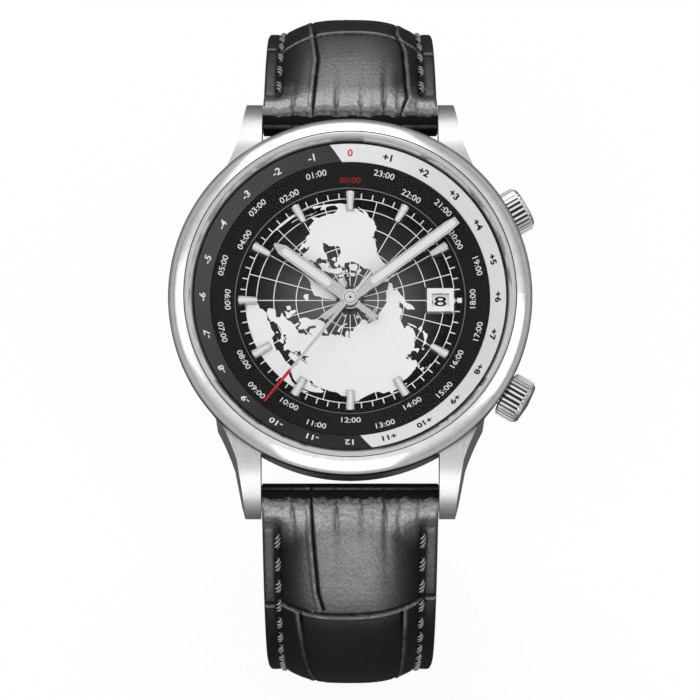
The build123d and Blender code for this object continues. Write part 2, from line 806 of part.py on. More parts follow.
def mainspring_barrel():
    """The closed barrel with its toothed rim and arbor."""
    angle = mesh_angle(barrel_teeth, barrel_angle + 180, True)
    half_depth = barrel_pitch * math.pi / barrel_teeth * 0.7
    body = toothed(barrel_teeth, barrel_pitch + half_depth, barrel_pitch - half_depth,
                   barrel_height / 3, angle)
    body += extrude(Circle(barrel_drum_radius), amount=barrel_height)
    body = Pos(barrel_x, barrel_y, barrel_bottom) * body
    return body + pin(barrel_arbor_radius, barrel_arbor_bottom, plate_top - free_gap, barrel_x, barrel_y)


def centre_wheel():
    """The centre wheel with its pinion on a hollow arbor, one turn an hour."""
    body = Pos(0, 0, centre_wheel_bottom) * wheel(
        centre_teeth, centre_pitch, mesh_angle(centre_teeth, third_angle, True))
    body += Pos(0, 0, centre_pinion_bottom) * leaf_pinion(
        centre_pinion_teeth, centre_pinion_pitch, centre_pinion_height,
        mesh_angle(centre_pinion_teeth, barrel_angle, False))
    body += pin(centre_tube_outer, centre_tube_bottom, cannon_bottom + cannon_height)
    return body - pin(bore_fit, 0, dial_top)


def third_wheel():
    """The third wheel and its pinion, which the centre wheel drives."""
    pinion_bottom = centre_wheel_bottom - pinion_margin
    body = Pos(0, 0, third_wheel_bottom) * wheel(
        third_teeth, third_pitch, mesh_angle(third_teeth, third_angle + 180, True))
    body += Pos(0, 0, pinion_bottom) * leaf_pinion(
        third_pinion_teeth, third_pinion_pitch, wheel_thickness + 2 * pinion_margin,
        mesh_angle(third_pinion_teeth, third_angle + 180, False))
    body += pin(arbor_radius, bridge_top - free_gap, plate_bottom + free_gap)
    return Pos(third_x, third_y, 0) * body


def fourth_wheel():
    """The fourth wheel on the long centre arbor that carries the seconds hand."""
    body = Pos(0, 0, fourth_wheel_bottom) * wheel(
        fourth_teeth, fourth_pitch, mesh_angle(fourth_teeth, escape_angle, True))
    body += Pos(0, 0, third_wheel_bottom - pinion_margin) * leaf_pinion(
        fourth_pinion_teeth, fourth_pinion_pitch, wheel_thickness + 2 * pinion_margin,
        mesh_angle(fourth_pinion_teeth, third_angle, False))
    return body + pin(arbor_radius, bridge_top - free_gap, seconds_hand_bottom + seconds_hand_thickness)


def escape_wheel():
    """The escape wheel and its pinion."""
    tip = escape_wheel_radius
    body = toothed(escape_teeth, tip, tip - escape_tooth_depth, wheel_thickness / 2, 0)
    hub = tip - 2 * escape_tooth_depth
    body -= extrude(Circle(hub) - Circle(hub / 2), amount=wheel_thickness)
    for spoke in range(2):
        bar = Box(2 * hub + free_gap, arbor_radius * 2, wheel_thickness / 2)
        body += Pos(0, 0, wheel_thickness / 4) * Rot(0, 0, 90 * spoke) * bar
    body = Pos(0, 0, escape_wheel_bottom) * body
    body += Pos(0, 0, fourth_wheel_bottom - pinion_margin) * leaf_pinion(
        escape_pinion_teeth, escape_pinion_pitch, wheel_thickness + 2 * pinion_margin,
        mesh_angle(escape_pinion_teeth, escape_angle + 180, False))
    body += pin(arbor_radius, bridge_top - free_gap, plate_bottom + free_gap)
    return Pos(escape_x, escape_y, 0) * body


def pallet_fork():
    """The pallet fork: an anchor over the escape wheel and a lever towards the balance."""
    half = pallet_fork_half_width
    towards_wheel = math.degrees(math.atan2(escape_y - pallet_y, escape_x - pallet_x))
    towards_balance = math.degrees(math.atan2(balance_y - pallet_y, balance_x - pallet_x))
    body = pin(3 * half, 0, pallet_fork_thickness)
    lever = plate([(0, -half), (pallet_lever_length, -half), (pallet_lever_length, half), (0, half)],
                  0, pallet_fork_thickness)
    body += Rot(0, 0, towards_balance) * lever
    for turn in (70, -70):
        arm = plate([(0, -half), (pallet_arm_reach, -half), (pallet_arm_reach, half), (0, half)],
                    0, pallet_fork_thickness)
        body += Rot(0, 0, towards_wheel + turn) * arm
    body = Pos(0, 0, pallet_fork_bottom) * body
    body += pin(arbor_radius, pallet_fork_bottom - free_gap, plate_bottom + free_gap)
    return Pos(pallet_x, pallet_y, 0) * body


def balance_wheel():
    """The balance: a heavy rim on two arms, its staff and its roller."""
    body = ring(balance_radius, balance_radius - rim_width, balance_bottom, balance_bottom + balance_height)
    arm_length = 2 * balance_radius - rim_width
    arm = Box(arm_length, rim_width, balance_height / 2)
    body += Pos(0, 0, balance_bottom + balance_height / 4) * Rot(0, 0, escape_angle / 6) * arm
    body += pin(arbor_radius, balance_staff_bottom, plate_bottom + free_gap)
    body += pin(roller_radius, balance_bottom + balance_height / 2, roller_top)
    return Pos(balance_x, balance_y, 0) * body


def hairspring():
    """The flat spiral of the balance spring with its collet and stud."""
    turns = hairspring_turns
    growth = (hairspring_outer - hairspring_inner) / turns
    steps = turns * 12

    def spiral(shift):
        points = []
        for step in range(steps + 1):
            radius = hairspring_inner + growth * step / 12 + shift
            points.append(polar(radius, step * 30))
        return points
    blade = spiral(hairspring_blade / 2) + spiral(-hairspring_blade / 2)[::-1]
    body = plate(blade, hairspring_bottom, hairspring_height)
    body += ring(hairspring_inner + hairspring_blade, arbor_radius, hairspring_bottom,
                 hairspring_bottom + hairspring_height)
    return Pos(balance_x, balance_y, 0) * body


def cannon_pinion():
    """The cannon pinion that carries the minute hand."""
    body = Pos(0, 0, cannon_bottom) * leaf_pinion(
        cannon_teeth, cannon_pitch, cannon_height, mesh_angle(cannon_teeth, minute_wheel_angle, False))
    body += pin(cannon_tube_outer, cannon_bottom, minute_hand_bottom + hand_thickness)
    body -= pin(centre_tube_outer, 0, cannon_bottom + cannon_height)
    return body - pin(bore_fit, 0, seconds_hand_bottom)


def minute_wheel():
    """The minute wheel and its pinion, which drives the hour wheel."""
    body = Pos(0, 0, minute_wheel_bottom) * wheel(
        minute_teeth, minute_pitch, mesh_angle(minute_teeth, minute_wheel_angle + 180, True))
    top = hour_wheel_bottom + wheel_thickness
    body += Pos(0, 0, minute_wheel_bottom + wheel_thickness) * leaf_pinion(
        minute_pinion_teeth, minute_pinion_pitch, top - minute_wheel_bottom - wheel_thickness,
        mesh_angle(minute_pinion_teeth, minute_wheel_angle + 180, False))
    body += pin(arbor_radius, plate_top - free_gap * 2, top + free_gap)
    return Pos(minute_x, minute_y, 0) * body


def hour_wheel():
    """The hour wheel with the pipe that carries the hour hand."""
    angle = mesh_angle(hour_teeth, minute_wheel_angle, True)
    half_depth = hour_pitch * math.pi / hour_teeth * 0.7
    body = toothed(hour_teeth, hour_pitch + half_depth, hour_pitch - half_depth, wheel_thickness, angle)
    body = Pos(0, 0, hour_wheel_bottom) * body
    body += pin(hour_tube_outer, hour_wheel_bottom, hour_hand_bottom + hand_thickness)
    return body - pin(cannon_tube_outer + running_gap, 0, minute_hand_bottom)


def baton_hand(length, tail, half_width, tip_half_width, hub, bottom, bore, angle):
    """A bevelled baton hand on its hub."""
    points = [(-tail, -hand_waist_half_width), (0, -hand_waist_half_width), (hub, -half_width),
              (length - hand_tip_length, -half_width), (length, -tip_half_width),
              (length, tip_half_width), (length - hand_tip_length, half_width), (hub, half_width),
              (0, hand_waist_half_width), (-tail, hand_waist_half_width)]
    body = raised(points, bottom, hand_thickness, hand_bevel)
    body += pin(hub, bottom, bottom + hand_thickness)
    body -= pin(bore, 0, bottom + hand_thickness + cut_overrun)
    return Rot(0, 0, angle) * body


def hour_hand():
    """The short baton hand."""
    return baton_hand(hour_hand_length, hour_hand_tail, hour_hand_half_width, hour_hand_tip_half_width,
                      hour_hub_radius, hour_hand_bottom, hour_tube_outer, hour_hand_angle)


def minute_hand():
    """The long baton hand."""
    return baton_hand(minute_hand_length, minute_hand_tail, minute_hand_half_width,
                      minute_hand_tip_half_width, hub_radius, minute_hand_bottom, cannon_tube_outer,
                      minute_hand_angle)


def seconds_hand():
    """The thin seconds hand under its round cap."""
    points = [(-seconds_hand_tail, -seconds_hand_half_width), (0, -seconds_hand_half_width),
              (seconds_hand_length, -seconds_hand_tip_half_width),
              (seconds_hand_length, seconds_hand_tip_half_width),
              (0, seconds_hand_half_width), (-seconds_hand_tail, seconds_hand_half_width)]
    body = plate(points, seconds_hand_bottom, seconds_hand_thickness)
    body += pin(hub_radius, seconds_hand_bottom, hub_top)
    body -= pin(arbor_radius, 0, seconds_hand_bottom + seconds_hand_thickness)
    return Rot(0, 0, seconds_hand_angle) * body


def rotor_post():
    """The post and cap that the rotor turns on, fixed to the train bridge."""
    body = pin(rotor_post_radius, rotor_post_bottom, bridge_bottom)
    return body + pin(rotor_cap_radius, rotor_cap_bottom, rotor_post_bottom)


def rotor():
    """The half-round winding weight with its windowed web and heavy rim."""
    web = sector((-90, 90), rotor_rim_outer, rotor_bottom, rotor_web_thickness)
    for turn in (-45, 45):
        half = rotor_window_half_angle
        outline = [polar(rotor_window_inner, turn - half), polar(rotor_window_outer, turn - half),
                   polar(rotor_window_outer, turn), polar(rotor_window_outer, turn + half),
                   polar(rotor_window_inner, turn + half)]
        web -= plate(outline, 0, plate_bottom)
    rim = sector((-90, 90), rotor_rim_outer, rotor_bottom, rotor_rim_height)
    rim -= pin(rotor_rim_inner, 0, plate_bottom)
    body = web + rim + pin(rotor_hub_radius, rotor_bottom, rotor_bottom + rotor_web_thickness)
    body -= pin(rotor_post_radius + running_gap, 0, plate_bottom)
    return Rot(0, 0, rotor_angle) * body


def crown(angle):
    """A fluted crown with a domed end and a recess that covers the tube."""
    flutes = toothed(crown_flutes, crown_radius, crown_radius - crown_flute_depth,
                     crown_length, 0, flute_tip_share, flute_root_share)
    flutes = Pos(0, 0, crown_inner_reach) * flutes
    edge = crown_radius - crown_chamfer
    blank = turned([(0, crown_inner_reach), (edge, crown_inner_reach),
                    (crown_radius, crown_inner_reach + crown_foot_chamfer),
                    (crown_radius, crown_outer_reach - crown_chamfer - crown_dome),
                    (edge, crown_outer_reach - crown_dome), (0, crown_outer_reach)])
    body = (flutes & blank) - pin(crown_recess_radius, 0, crown_inner_reach + crown_recess_depth)
    return radial(angle) * body


def crown_tubes():
    """The two tubes pressed into the case."""
    tube = pin(tube_radius, tube_inner_reach, tube_outer_reach)
    tube -= pin(stem_radius + running_gap, 0, crown_outer_reach)
    return [radial(angle) * tube for angle in (ring_crown_angle, setting_crown_angle)]


def crown_gaskets():
    """The seals at the mouths of the tubes."""
    seal = pin(tube_radius - free_gap, tube_outer_reach, tube_outer_reach + gasket_thickness)
    seal -= pin(stem_radius + running_gap, 0, crown_outer_reach)
    return [radial(angle) * seal for angle in (ring_crown_angle, setting_crown_angle)]


def ring_stem():
    """The stem of the ring crown."""
    return radial(ring_crown_angle) * pin(stem_radius, ring_stem_inner_reach,
                                          crown_inner_reach + crown_recess_depth)


def ring_pinion():
    """The pinion on the ring crown's stem, in mesh with the world ring's face teeth."""
    tip = ring_pinion_radius + ring_pinion_addendum
    root = ring_pinion_radius - ring_pinion_dedendum
    body = toothed(ring_pinion_teeth, tip, root, pinion_length, 180, leaf_tip_share, ring_pinion_root_share)
    body = Pos(0, 0, pinion_inner_reach) * body
    return radial(ring_crown_angle) * (body - pin(stem_radius, 0, crown_outer_reach))


def setting_stem():
    """The stem of the winding and setting crown."""
    return radial(setting_crown_angle) * pin(stem_radius, setting_stem_inner_reach,
                                             crown_inner_reach + crown_recess_depth)


def winding_pinion():
    """The pinion that the setting stem slides through and turns."""
    tip = winding_pinion_radius
    body = toothed(winding_pinion_teeth, tip, tip - running_gap * 2, winding_pinion_length, 0,
                   winding_pinion_tip_share, winding_pinion_root_share)
    body = Pos(0, 0, winding_pinion_inner_reach) * body
    return radial(setting_crown_angle) * (body - pin(stem_radius + running_gap, 0, crown_outer_reach))


def spring_bars():
    """The two sprung bars between the lugs."""
    tube_half = lug_gap / 2 - free_gap
    pin_half = lug_gap / 2 + spring_bar_pin_length - running_gap
    bar = pin(spring_bar_radius, -tube_half, tube_half) + pin(spring_bar_pin_radius, -pin_half, pin_half)
    return [Pos(0, end * spring_bar_reach, spring_bar_height) * Rot(0, 90, 0) * bar for end in (1, -1)]


def strap_point(arcs, distance):
    """The reach, height and downward slope of a strap's path at a distance from its spring bar."""
    reach, height, slope = spring_bar_reach, spring_bar_height, math.radians(strap_start_slope)
    for radius, length in arcs:
        run = min(distance, length)
        turn = run / radius
        reach += radius * (math.sin(slope + turn) - math.sin(slope))
        height -= radius * (math.cos(slope) - math.cos(slope + turn))
        slope += turn
        distance -= run
        if distance <= 0:
            break
    reach += distance * math.cos(slope)
    height -= distance * math.sin(slope)
    return reach, height, slope


shoulder_arc = (shoulder_arc_radius, shoulder_arc_radius * math.radians(90 - strap_start_slope))
short_arcs = [shoulder_arc, (short_strap_arc_radius, short_strap_length - shoulder_arc[1])]
flank_arc = (long_strap_flank_radius, long_strap_flank_radius * math.radians(long_strap_flank_turn))
long_arcs = [shoulder_arc, flank_arc,
             (long_strap_fall_radius, long_strap_length - shoulder_arc[1] - flank_arc[1])]
short_lining_end = short_strap_length - buckle_eye_radius - free_gap


def strap_frame(arcs, distance, end):
    """A place on a strap: its own X is the watch's X, its own Y looks out of the loop."""
    reach, height, slope = strap_point(arcs, distance)
    along = Vector(0, end * math.cos(slope), -math.sin(slope))
    across = Vector(-end, 0, 0)
    return Plane(origin=(0, end * reach, height), x_dir=across, z_dir=along)


def strap_width(distance, total):
    """The strap's width, tapering from the lugs to two thirds of the half and then even."""
    share = min(distance / (total * 2 / 3), 1)
    return strap_lug_width + (strap_buckle_width - strap_lug_width) * share


def strap_section(width, low, border_top, crown_top):
    """A strap's cross section: a flat band or, with a crown above its borders, a padded one."""
    half = width / 2
    if crown_top <= border_top:
        return make_face(Polyline((-half, low), (half, low), (half, border_top), (-half, border_top),
                                  close=True))
    foot = half - min(strap_border, half / 3)
    crest = [(foot * across, border_top + (crown_top - border_top) * rise) for across, rise in crest_shares]
    left_crest = [(-across, height) for across, height in reversed(crest)]
    return make_face(Polyline((-half, low), (half, low), (half, border_top), (foot, border_top), *crest,
                              (0, crown_top), *left_crest, (-foot, border_top), (-half, border_top),
                              close=True))


def strap_places(total, lining_end, pointed):
    """The distances along a strap half at which both of its leathers have a section, with the widths."""
    body_end = lining_end - tip_length if pointed else lining_end
    step_length = (body_end - strap_lining_start) / strap_stations
    places = [strap_lining_start + step_length * step for step in range(strap_stations + 1)]
    widths = [strap_width(place, total) for place in places]
    if pointed:
        for width_share, along_share in tip_half_width_shares[1:]:
            places.append(body_end + tip_length * along_share)
            widths.append(strap_buckle_width * width_share)
    return list(zip(places, widths))


def crown_top_at(place, width, total):
    """The height of the padding over the path, falling from the lugs towards the free end."""
    fade = (padding_end_share - place / total) / (padding_end_share - padding_hold_share)
    fade = max(0, min(1, fade))
    height = strap_crown_end_height + (strap_crown_height - strap_crown_end_height) * fade
    return strap_upper_thickness + height * min(1, width / strap_buckle_width)


def strap_upper(arcs, total, lining_end, end, pointed):
    """The upper leather with its padding and the eye round the spring bar."""
    sections = [strap_frame(arcs, 0, end) * strap_section(
        strap_lug_width, 0, strap_upper_thickness + strap_eye_border_rise,
        strap_upper_thickness + strap_eye_crown_height)]
    places = strap_places(total, lining_end, pointed)
    if lining_end < total:
        places.append((total, strap_buckle_width))
    for place, width in places:
        rise = strap_eye_border_rise * max(0, 1 - place / strap_shoulder_length)
        sections.append(strap_frame(arcs, place, end) * strap_section(
            width, 0, strap_upper_thickness + rise, crown_top_at(place, width, total)))
    body = loft(sections, ruled=True)
    eye = pin(strap_eye_radius, -strap_lug_width / 2, strap_lug_width / 2)
    eye = Pos(0, strap_eye_rise, strap_eye_shift) * Rot(0, 90, 0) * eye
    body += strap_frame(arcs, 0, end) * eye
    bore = Rot(0, 90, 0) * pin(spring_bar_radius + running_gap, -strap_lug_width, strap_lug_width)
    return body - strap_frame(arcs, 0, end) * bore


def strap_lining(arcs, total, lining_end, end, pointed):
    """The lining leather on the wrist side."""
    return loft([strap_frame(arcs, place, end) * strap_section(width, -strap_lining_thickness, 0, 0)
                 for place, width in strap_places(total, lining_end, pointed)], ruled=True)


def buckle_place():
    """The buckle bar's place: X across, Y along the strap towards the buckle's end, Z inwards."""
    reach, height, slope = strap_point(short_arcs, short_strap_length)
    return Pos(0, reach, height) * Rot(180 - math.degrees(slope), 0, 0)


def short_strap():
    """The 12 o'clock half's upper leather, which holds the buckle bar."""
    body = strap_upper(short_arcs, short_strap_length, short_lining_end, 1, False)
    eye = Rot(0, 90, 0) * pin(buckle_eye_radius, -strap_buckle_width / 2, strap_buckle_width / 2)
    body += buckle_place() * eye
    side = (strap_buckle_width - buckle_eye_width) / 2
    for hand in (1, -1):
        notch = Box(side, 4 * buckle_eye_radius, 4 * buckle_eye_radius)
        body -= buckle_place() * Pos(hand * (buckle_eye_width + side) / 2, 0, 0) * notch
    bore = Rot(0, 90, 0) * pin(buckle_bar_radius + running_gap, -strap_lug_width, strap_lug_width)
    body -= buckle_place() * bore
    return body - buckle_place() * tang_slot()


def tang_slot():
    """The slot in the strap's end for the buckle's tang."""
    reach_in = tang_slot_length - buckle_eye_radius
    return Pos(0, reach_in - tang_slot_length / 2, 0) * Box(
        tang_slot_width, tang_slot_length + cut_overrun, 4 * buckle_eye_radius)


def short_strap_lining():
    """The 12 o'clock half's lining."""
    body = strap_lining(short_arcs, short_strap_length, short_lining_end, 1, False)
    return body - buckle_place() * tang_slot()


def strap_holes():
    """The row of holes for the tang."""
    holes = []
    for index in range(hole_count):
        distance = long_strap_length - first_hole_from_tip - index * hole_pitch
        frame = strap_frame(long_arcs, distance, -1)
        hole = Rot(90, 0, 0) * extrude(Circle(hole_radius), amount=2 * strap_crown_height + cut_overrun,
                                       both=True)
        holes.append(frame * hole)
    return holes


def long_strap():
    """The 6 o'clock half's upper leather with its holes."""
    body = strap_upper(long_arcs, long_strap_length, long_strap_length, -1, True)
    return body - strap_holes()


def long_strap_lining():
    """The 6 o'clock half's lining with its holes."""
    return strap_lining(long_arcs, long_strap_length, long_strap_length, -1, True) - strap_holes()


def keeper(distance):
    """A leather loop round the short half, tall enough for the long half under it."""
    inner_half = strap_buckle_width / 2 + keeper_side_gap
    low = -strap_lining_thickness - keeper_under_gap
    high = strap_upper_thickness + strap_crown_end_height * 2 + keeper_tail_gap
    outer = make_face(Polyline((-inner_half - keeper_wall, low - keeper_wall),
                               (inner_half + keeper_wall, low - keeper_wall),
                               (inner_half + keeper_wall, high + keeper_wall),
                               (-inner_half - keeper_wall, high + keeper_wall), close=True))
    outer = fillet(outer.vertices(), keeper_wall)
    inner = make_face(Polyline((-inner_half, low), (inner_half, low), (inner_half, high),
                               (-inner_half, high), close=True))
    band = extrude(outer - inner, amount=keeper_width / 2, both=True)
    return strap_frame(short_arcs, distance, 1) * band


def fixed_keeper():
    """The keeper stitched beside the buckle."""
    return keeper(short_strap_length - fixed_keeper_place)


def sliding_keeper():
    """The keeper that slides along the strap."""
    return keeper(short_strap_length - sliding_keeper_place)


def buckle_frame():
    """The U-shaped buckle with rounded corners and an ear at each end of its bar."""
    half_outer, half_inner = buckle_outer_width / 2, buckle_inner_width / 2
    low, far = buckle_ear, buckle_length - buckle_ear
    outer = make_face(Polyline((-half_outer, -low), (half_outer, -low), (half_outer, far),
                               (-half_outer, far), close=True))
    outer = fillet(outer.vertices(), buckle_corner)
    inner = make_face(Polyline((-half_inner, -low - cut_overrun), (half_inner, -low - cut_overrun),
                               (half_inner, far - buckle_far_bar), (-half_inner, far - buckle_far_bar),
                               close=True))
    body = extrude(outer - inner, amount=buckle_thickness / 2, both=True)
    body = chamfer(body.faces().sort_by(Axis.Z)[0].edges() + body.faces().sort_by(Axis.Z)[-1].edges(),
                   buckle_rounding)
    body -= Rot(0, 90, 0) * pin(buckle_bar_radius, -buckle_outer_width, buckle_outer_width)
    return buckle_place() * Rot(0, 0, 180) * body


def buckle_bar():
    """The bar that joins the buckle to the strap."""
    half = buckle_outer_width / 2
    return buckle_place() * Rot(0, 90, 0) * pin(buckle_bar_radius, -half, half)


def buckle_tang():
    """The tang: an eye round the bar and a prong that rests on the far side of the frame."""
    eye = Rot(0, 90, 0) * pin(buckle_eye_radius, -tang_width / 2, tang_width / 2)
    prong_bottom = buckle_thickness / 2 + running_gap
    reach = buckle_length - buckle_ear + buckle_rounding
    half = tang_width / 2
    profile = make_face(Polyline((0, 0, -buckle_eye_radius), (0, reach, -prong_bottom),
                                 (0, reach, -prong_bottom - tang_thickness),
                                 (0, 0, -buckle_eye_radius - tang_thickness / 2), close=True))
    prong = extrude(profile, amount=half, both=True)
    body = eye + prong
    body -= Rot(0, 90, 0) * pin(buckle_bar_radius + running_gap, -tang_width, tang_width)
    return buckle_place() * Rot(0, 0, 180) * body


def save(name, shape):
    """Write one node; a list of bodies becomes one compound."""
    if isinstance(shape, list):
        shape = Compound(children=shape)
    export_step(shape, f"parts/{name}.step")


os.makedirs("parts", exist_ok=True)
pieces = {
    "mid_case": mid_case, "bezel": bezel, "crystal": crystal, "crystal_gasket": crystal_gasket,
    "case_back": case_back, "back_glass": back_glass, "back_gasket": back_gasket,
    "movement_ring": movement_ring, "case_clamps": case_clamps, "clamp_screws": clamp_screws,
    "offset_ring": offset_ring, "world_ring": world_ring, "dial": dial, "hour_markers": hour_markers,
    "date_frame": date_frame, "date_ring": date_ring, "main_plate": main_plate,
    "barrel_bridge": barrel_bridge, "train_bridge": train_bridge, "balance_cock": balance_cock,
    "bridge_screws": bridge_screws, "mainspring_barrel": mainspring_barrel,
    "centre_wheel": centre_wheel, "third_wheel": third_wheel, "fourth_wheel": fourth_wheel,
    "escape_wheel": escape_wheel, "pallet_fork": pallet_fork, "balance_wheel": balance_wheel,
    "hairspring": hairspring, "cannon_pinion": cannon_pinion, "minute_wheel": minute_wheel,
    "hour_wheel": hour_wheel, "hour_hand": hour_hand, "minute_hand": minute_hand,
    "seconds_hand": seconds_hand, "rotor_post": rotor_post, "rotor": rotor,
    "crown_tubes": crown_tubes, "crown_gaskets": crown_gaskets, "ring_stem": ring_stem,
    "ring_pinion": ring_pinion, "setting_stem": setting_stem, "winding_pinion": winding_pinion,
    "spring_bars": spring_bars, "short_strap": short_strap, "short_strap_lining": short_strap_lining,
    "long_strap": long_strap, "long_strap_lining": long_strap_lining, "fixed_keeper": fixed_keeper,
    "sliding_keeper": sliding_keeper, "buckle_frame": buckle_frame, "buckle_bar": buckle_bar,
    "buckle_tang": buckle_tang,
}
for name, make in pieces.items():
    save(name, make())
save("ring_crown", crown(ring_crown_angle))
save("setting_crown", crown(setting_crown_angle))
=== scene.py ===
import math
from collections import namedtuple
from functools import cache, partialmethod
import bmesh
import bpy
import numpy as np
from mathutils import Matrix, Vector
from mathutils.geometry import delaunay_2d_cdt


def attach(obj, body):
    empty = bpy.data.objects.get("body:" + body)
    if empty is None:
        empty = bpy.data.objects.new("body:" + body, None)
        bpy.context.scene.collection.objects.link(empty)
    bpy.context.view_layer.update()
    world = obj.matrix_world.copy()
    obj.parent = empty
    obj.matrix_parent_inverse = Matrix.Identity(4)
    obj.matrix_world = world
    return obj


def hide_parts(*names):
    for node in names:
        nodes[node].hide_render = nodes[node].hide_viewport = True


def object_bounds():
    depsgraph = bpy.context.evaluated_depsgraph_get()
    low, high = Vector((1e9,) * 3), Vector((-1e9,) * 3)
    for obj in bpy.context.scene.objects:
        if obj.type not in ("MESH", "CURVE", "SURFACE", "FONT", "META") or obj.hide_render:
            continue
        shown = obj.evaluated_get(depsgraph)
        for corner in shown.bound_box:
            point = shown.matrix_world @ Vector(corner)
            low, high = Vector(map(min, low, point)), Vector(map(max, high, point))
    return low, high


# The looks of a world time wristwatch: steel case, polar map dial, two crowns and a padded strap.
# Values are millimetres and degrees until a mesh is made; +Z looks out of the dial, +Y is 12 o'clock.

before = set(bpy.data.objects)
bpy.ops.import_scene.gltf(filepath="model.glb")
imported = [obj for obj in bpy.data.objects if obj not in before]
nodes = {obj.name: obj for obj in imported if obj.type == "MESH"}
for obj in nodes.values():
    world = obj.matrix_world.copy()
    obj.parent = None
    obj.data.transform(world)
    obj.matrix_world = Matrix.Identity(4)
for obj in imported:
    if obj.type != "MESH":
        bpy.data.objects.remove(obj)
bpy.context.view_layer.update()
metres = 0.001

# Case: the bezel's seam and the thin rim of painted shade at its outer edge, and the part of both crowns that
# lies in their grooves, which is painted as shade
bezel_inner_radius = 17.6
bezel_seam_radius = 18.68
bezel_outer_radius = 20.5
bezel_seam_width = 0.11
# the width of the painted shade at the outer rim
bezel_rim_shade_width = 0.08
crown_turn = 30.0
crown_height = 4.9
crown_groove_radius = 2.44
crown_groove_end = 22.5

# Dial, map and rings
dial_top = 7.6
# where the black band ends and the painted highlight line at the ring's edge begins
dial_band_end = 12.96
map_radius = 11.8
map_turn = 195.0
map_step = 15
map_line = 0.095
map_line_overlap = 0.05
meridian_end = 82
bay_spacing = 0.25
bay_fade = 1.2
bay_depth = 0.22
print_height = 0.02
tick_outer = 12.46
tick_width = 0.12
noon_mark = ((12.1, -0.28), (12.62, -0.28), (12.62, 0.28), (12.1, 0.28))
number_ring_inner = 15.8
number_ring_outer = 17.5
number_ring_inner_top = 8.95
number_ring_outer_top = 10.35
offset_numeral_height = 0.92
silver_start_outer = -7.5
silver_start_inner = -3.4
silver_end_outer = 172.1
silver_end_inner = 175.9
world_ring_lip_radius = 13.0
# the width of the painted highlight line at the ring's lip
lip_highlight_width = 0.06
world_ring_teeth_top = 7.55
world_ring_outer = 15.7
world_ring_lip_top = 7.75
world_ring_outer_top = 8.9
world_numeral_height = 0.7
world_numeral_rows = (13.85, 14.9)
world_numeral_widening = 1.1
date_place = 10.2
date_ring_top = 7.0
date_height = 1.15
date_widening = {1: 1.9, 2: 0.95}
date_shown = 8

# How much the letters' outlines are spread: by the print's colour, on the world ring and on the date ring
offset_bold = {"white": 0.02, "black": 0.04, "red": 0.02}
world_bold = 0.001
date_bold = 0.008

# Hands, by the angle clockwise from 12 o'clock, and their strips by start, stop, half width and the end's
# share of that width
hour_hand_turn = 306.5
minute_hand_turn = 53.3
seconds_hand_turn = 219.0
hour_hand_top = 8.45
minute_hand_top = 9.03
seconds_hand_top = 9.3
red_tip_start = 10.7
hub_groove_radius = 0.66
hub_groove_width = 0.07
hub_pin_radius = 0.15
hour_strip = (2.8, 9.5, 0.4, 0.9)
minute_strip = (3.0, 14.8, 0.38, 0.9)
red_strip = (red_tip_start, 15.3, 0.18, 0.5)
blade_strip = (0.95, red_tip_start, 0.19, 0.75)
marker_top = 8.0
marker_start = 10.5
marker_stop = 12.65
marker_start_width = 0.32
marker_stop_width = 0.44

# Jewels of the bearings: their place in plan and radius
jewels = (((5.4 * math.cos(math.radians(160)), 5.4 * math.sin(math.radians(160))), 0.62),
          ((0.0, -5.4), 0.55), ((3.1, -8.3), 0.6), ((6.6 * 0.5, 6.6 * 0.866), 0.7))
jewel_low = 2.56
jewel_top = 2.66
jewel_hole_radius = 0.2
rotor_rim_start = 10.4

# Strap, along a path that leaves the spring bar and bends down round the wrist
strap_lug_width = 19.95
strap_buckle_width = 18.0
strap_upper = 1.5
strap_lining = 0.9
strap_border = 1.8
strap_crown = 1.75
strap_crown_end = 0.25
strap_wall = 0.12
strap_wall_shares = (0.985, 0.994)
shoulder_start = 0.4
shoulder_length = 2.6
lip_rise = 1.35
edge_round = 0.4
border_flat = 1.3
seam_inset = 1.7
seam_width = 0.36
seam_depth = 0.26
spring_bar_reach = 22.1
spring_bar_height = 2.2
strap_slope = 25.0
shoulder_arc_radius = 24.0
short_arc_radius = 50.0
flank_radius = 80.0
flank_turn = 13.0
fall_radius = 280.0
short_length = 78.6
short_body_end = short_length - 3.9
short_last_stitch = short_length - 6
long_strap_length = 113.5
strap_tip_length = 7.0
nose_reach = 2.1
nose_height = 1.9
nose_margin = 0.02
lip_line = -1.0
lip_length = 0.75
# A thin dark sheet of painted shade over the nose: its outer and inner reach and rise, and its margin at the
# sides
shade_sheet_outer = (2.14, 1.66)
shade_sheet_inner = (2.04, 1.52)
shade_sheet_margin = 0.01
eye_radius = 2.3
eye_rise = 0.9
eye_shift = 0.2
end_round = 0.4
lining_start = 2.4
lining_round = 0.3
finger_length = 4.6
finger_radius = 1.6
finger_bend = 3.2
finger_start = 1.35
finger_width = 6.1
finger_round = 0.25
scale_pitch = 14
grain_waves = 26
# Folds over the spring bar: how far across, how deep and how long
lug_folds = ((-6.6, 0.3, 2.6), (-1.65, 0.34, 3.0), (1.2, 0.26, 2.4), (3.8, 0.34, 3.6), (5.4, 0.24, 2.6),
             (7.6, 0.26, 2.0), (-3.0, 0.1, 1.5), (2.5, 0.1, 1.8))
stitch_start = 4.2
stitch_pitch = 2.9
stitch_half = 0.95
stitch_lean = 0.1
stitch_lift = 0.18
stitch_sink = 0.34
thread_radius = 0.27
thread_strands = 3
strand_twist = 11
strand_depth = 0.22
hole_count = 6
hole_pitch = 7
hole_from_tip = 26
hole_radius = 0.8

# Keepers: the loop's middle line inside its thickness, and where it lies from the short half's end
keeper_half = 9.8
keeper_low = -1.7
keeper_high = 5.5
keeper_corner = 1.4
keeper_half_width = 2.5
keeper_half_thickness = 0.5
fixed_keeper_place = 8.0
sliding_keeper_place = 19.0

# Camera and stage
photo_scale = 8.89
photo_centre = 350
dial_centre_px = (350.2, 297.7)
dial_plane_height = 9.0
camera_elevation = 78.5
camera_distance = 560.0
sensor_width = 36.0
floor_gap = 0.05
floor_radius = 6000


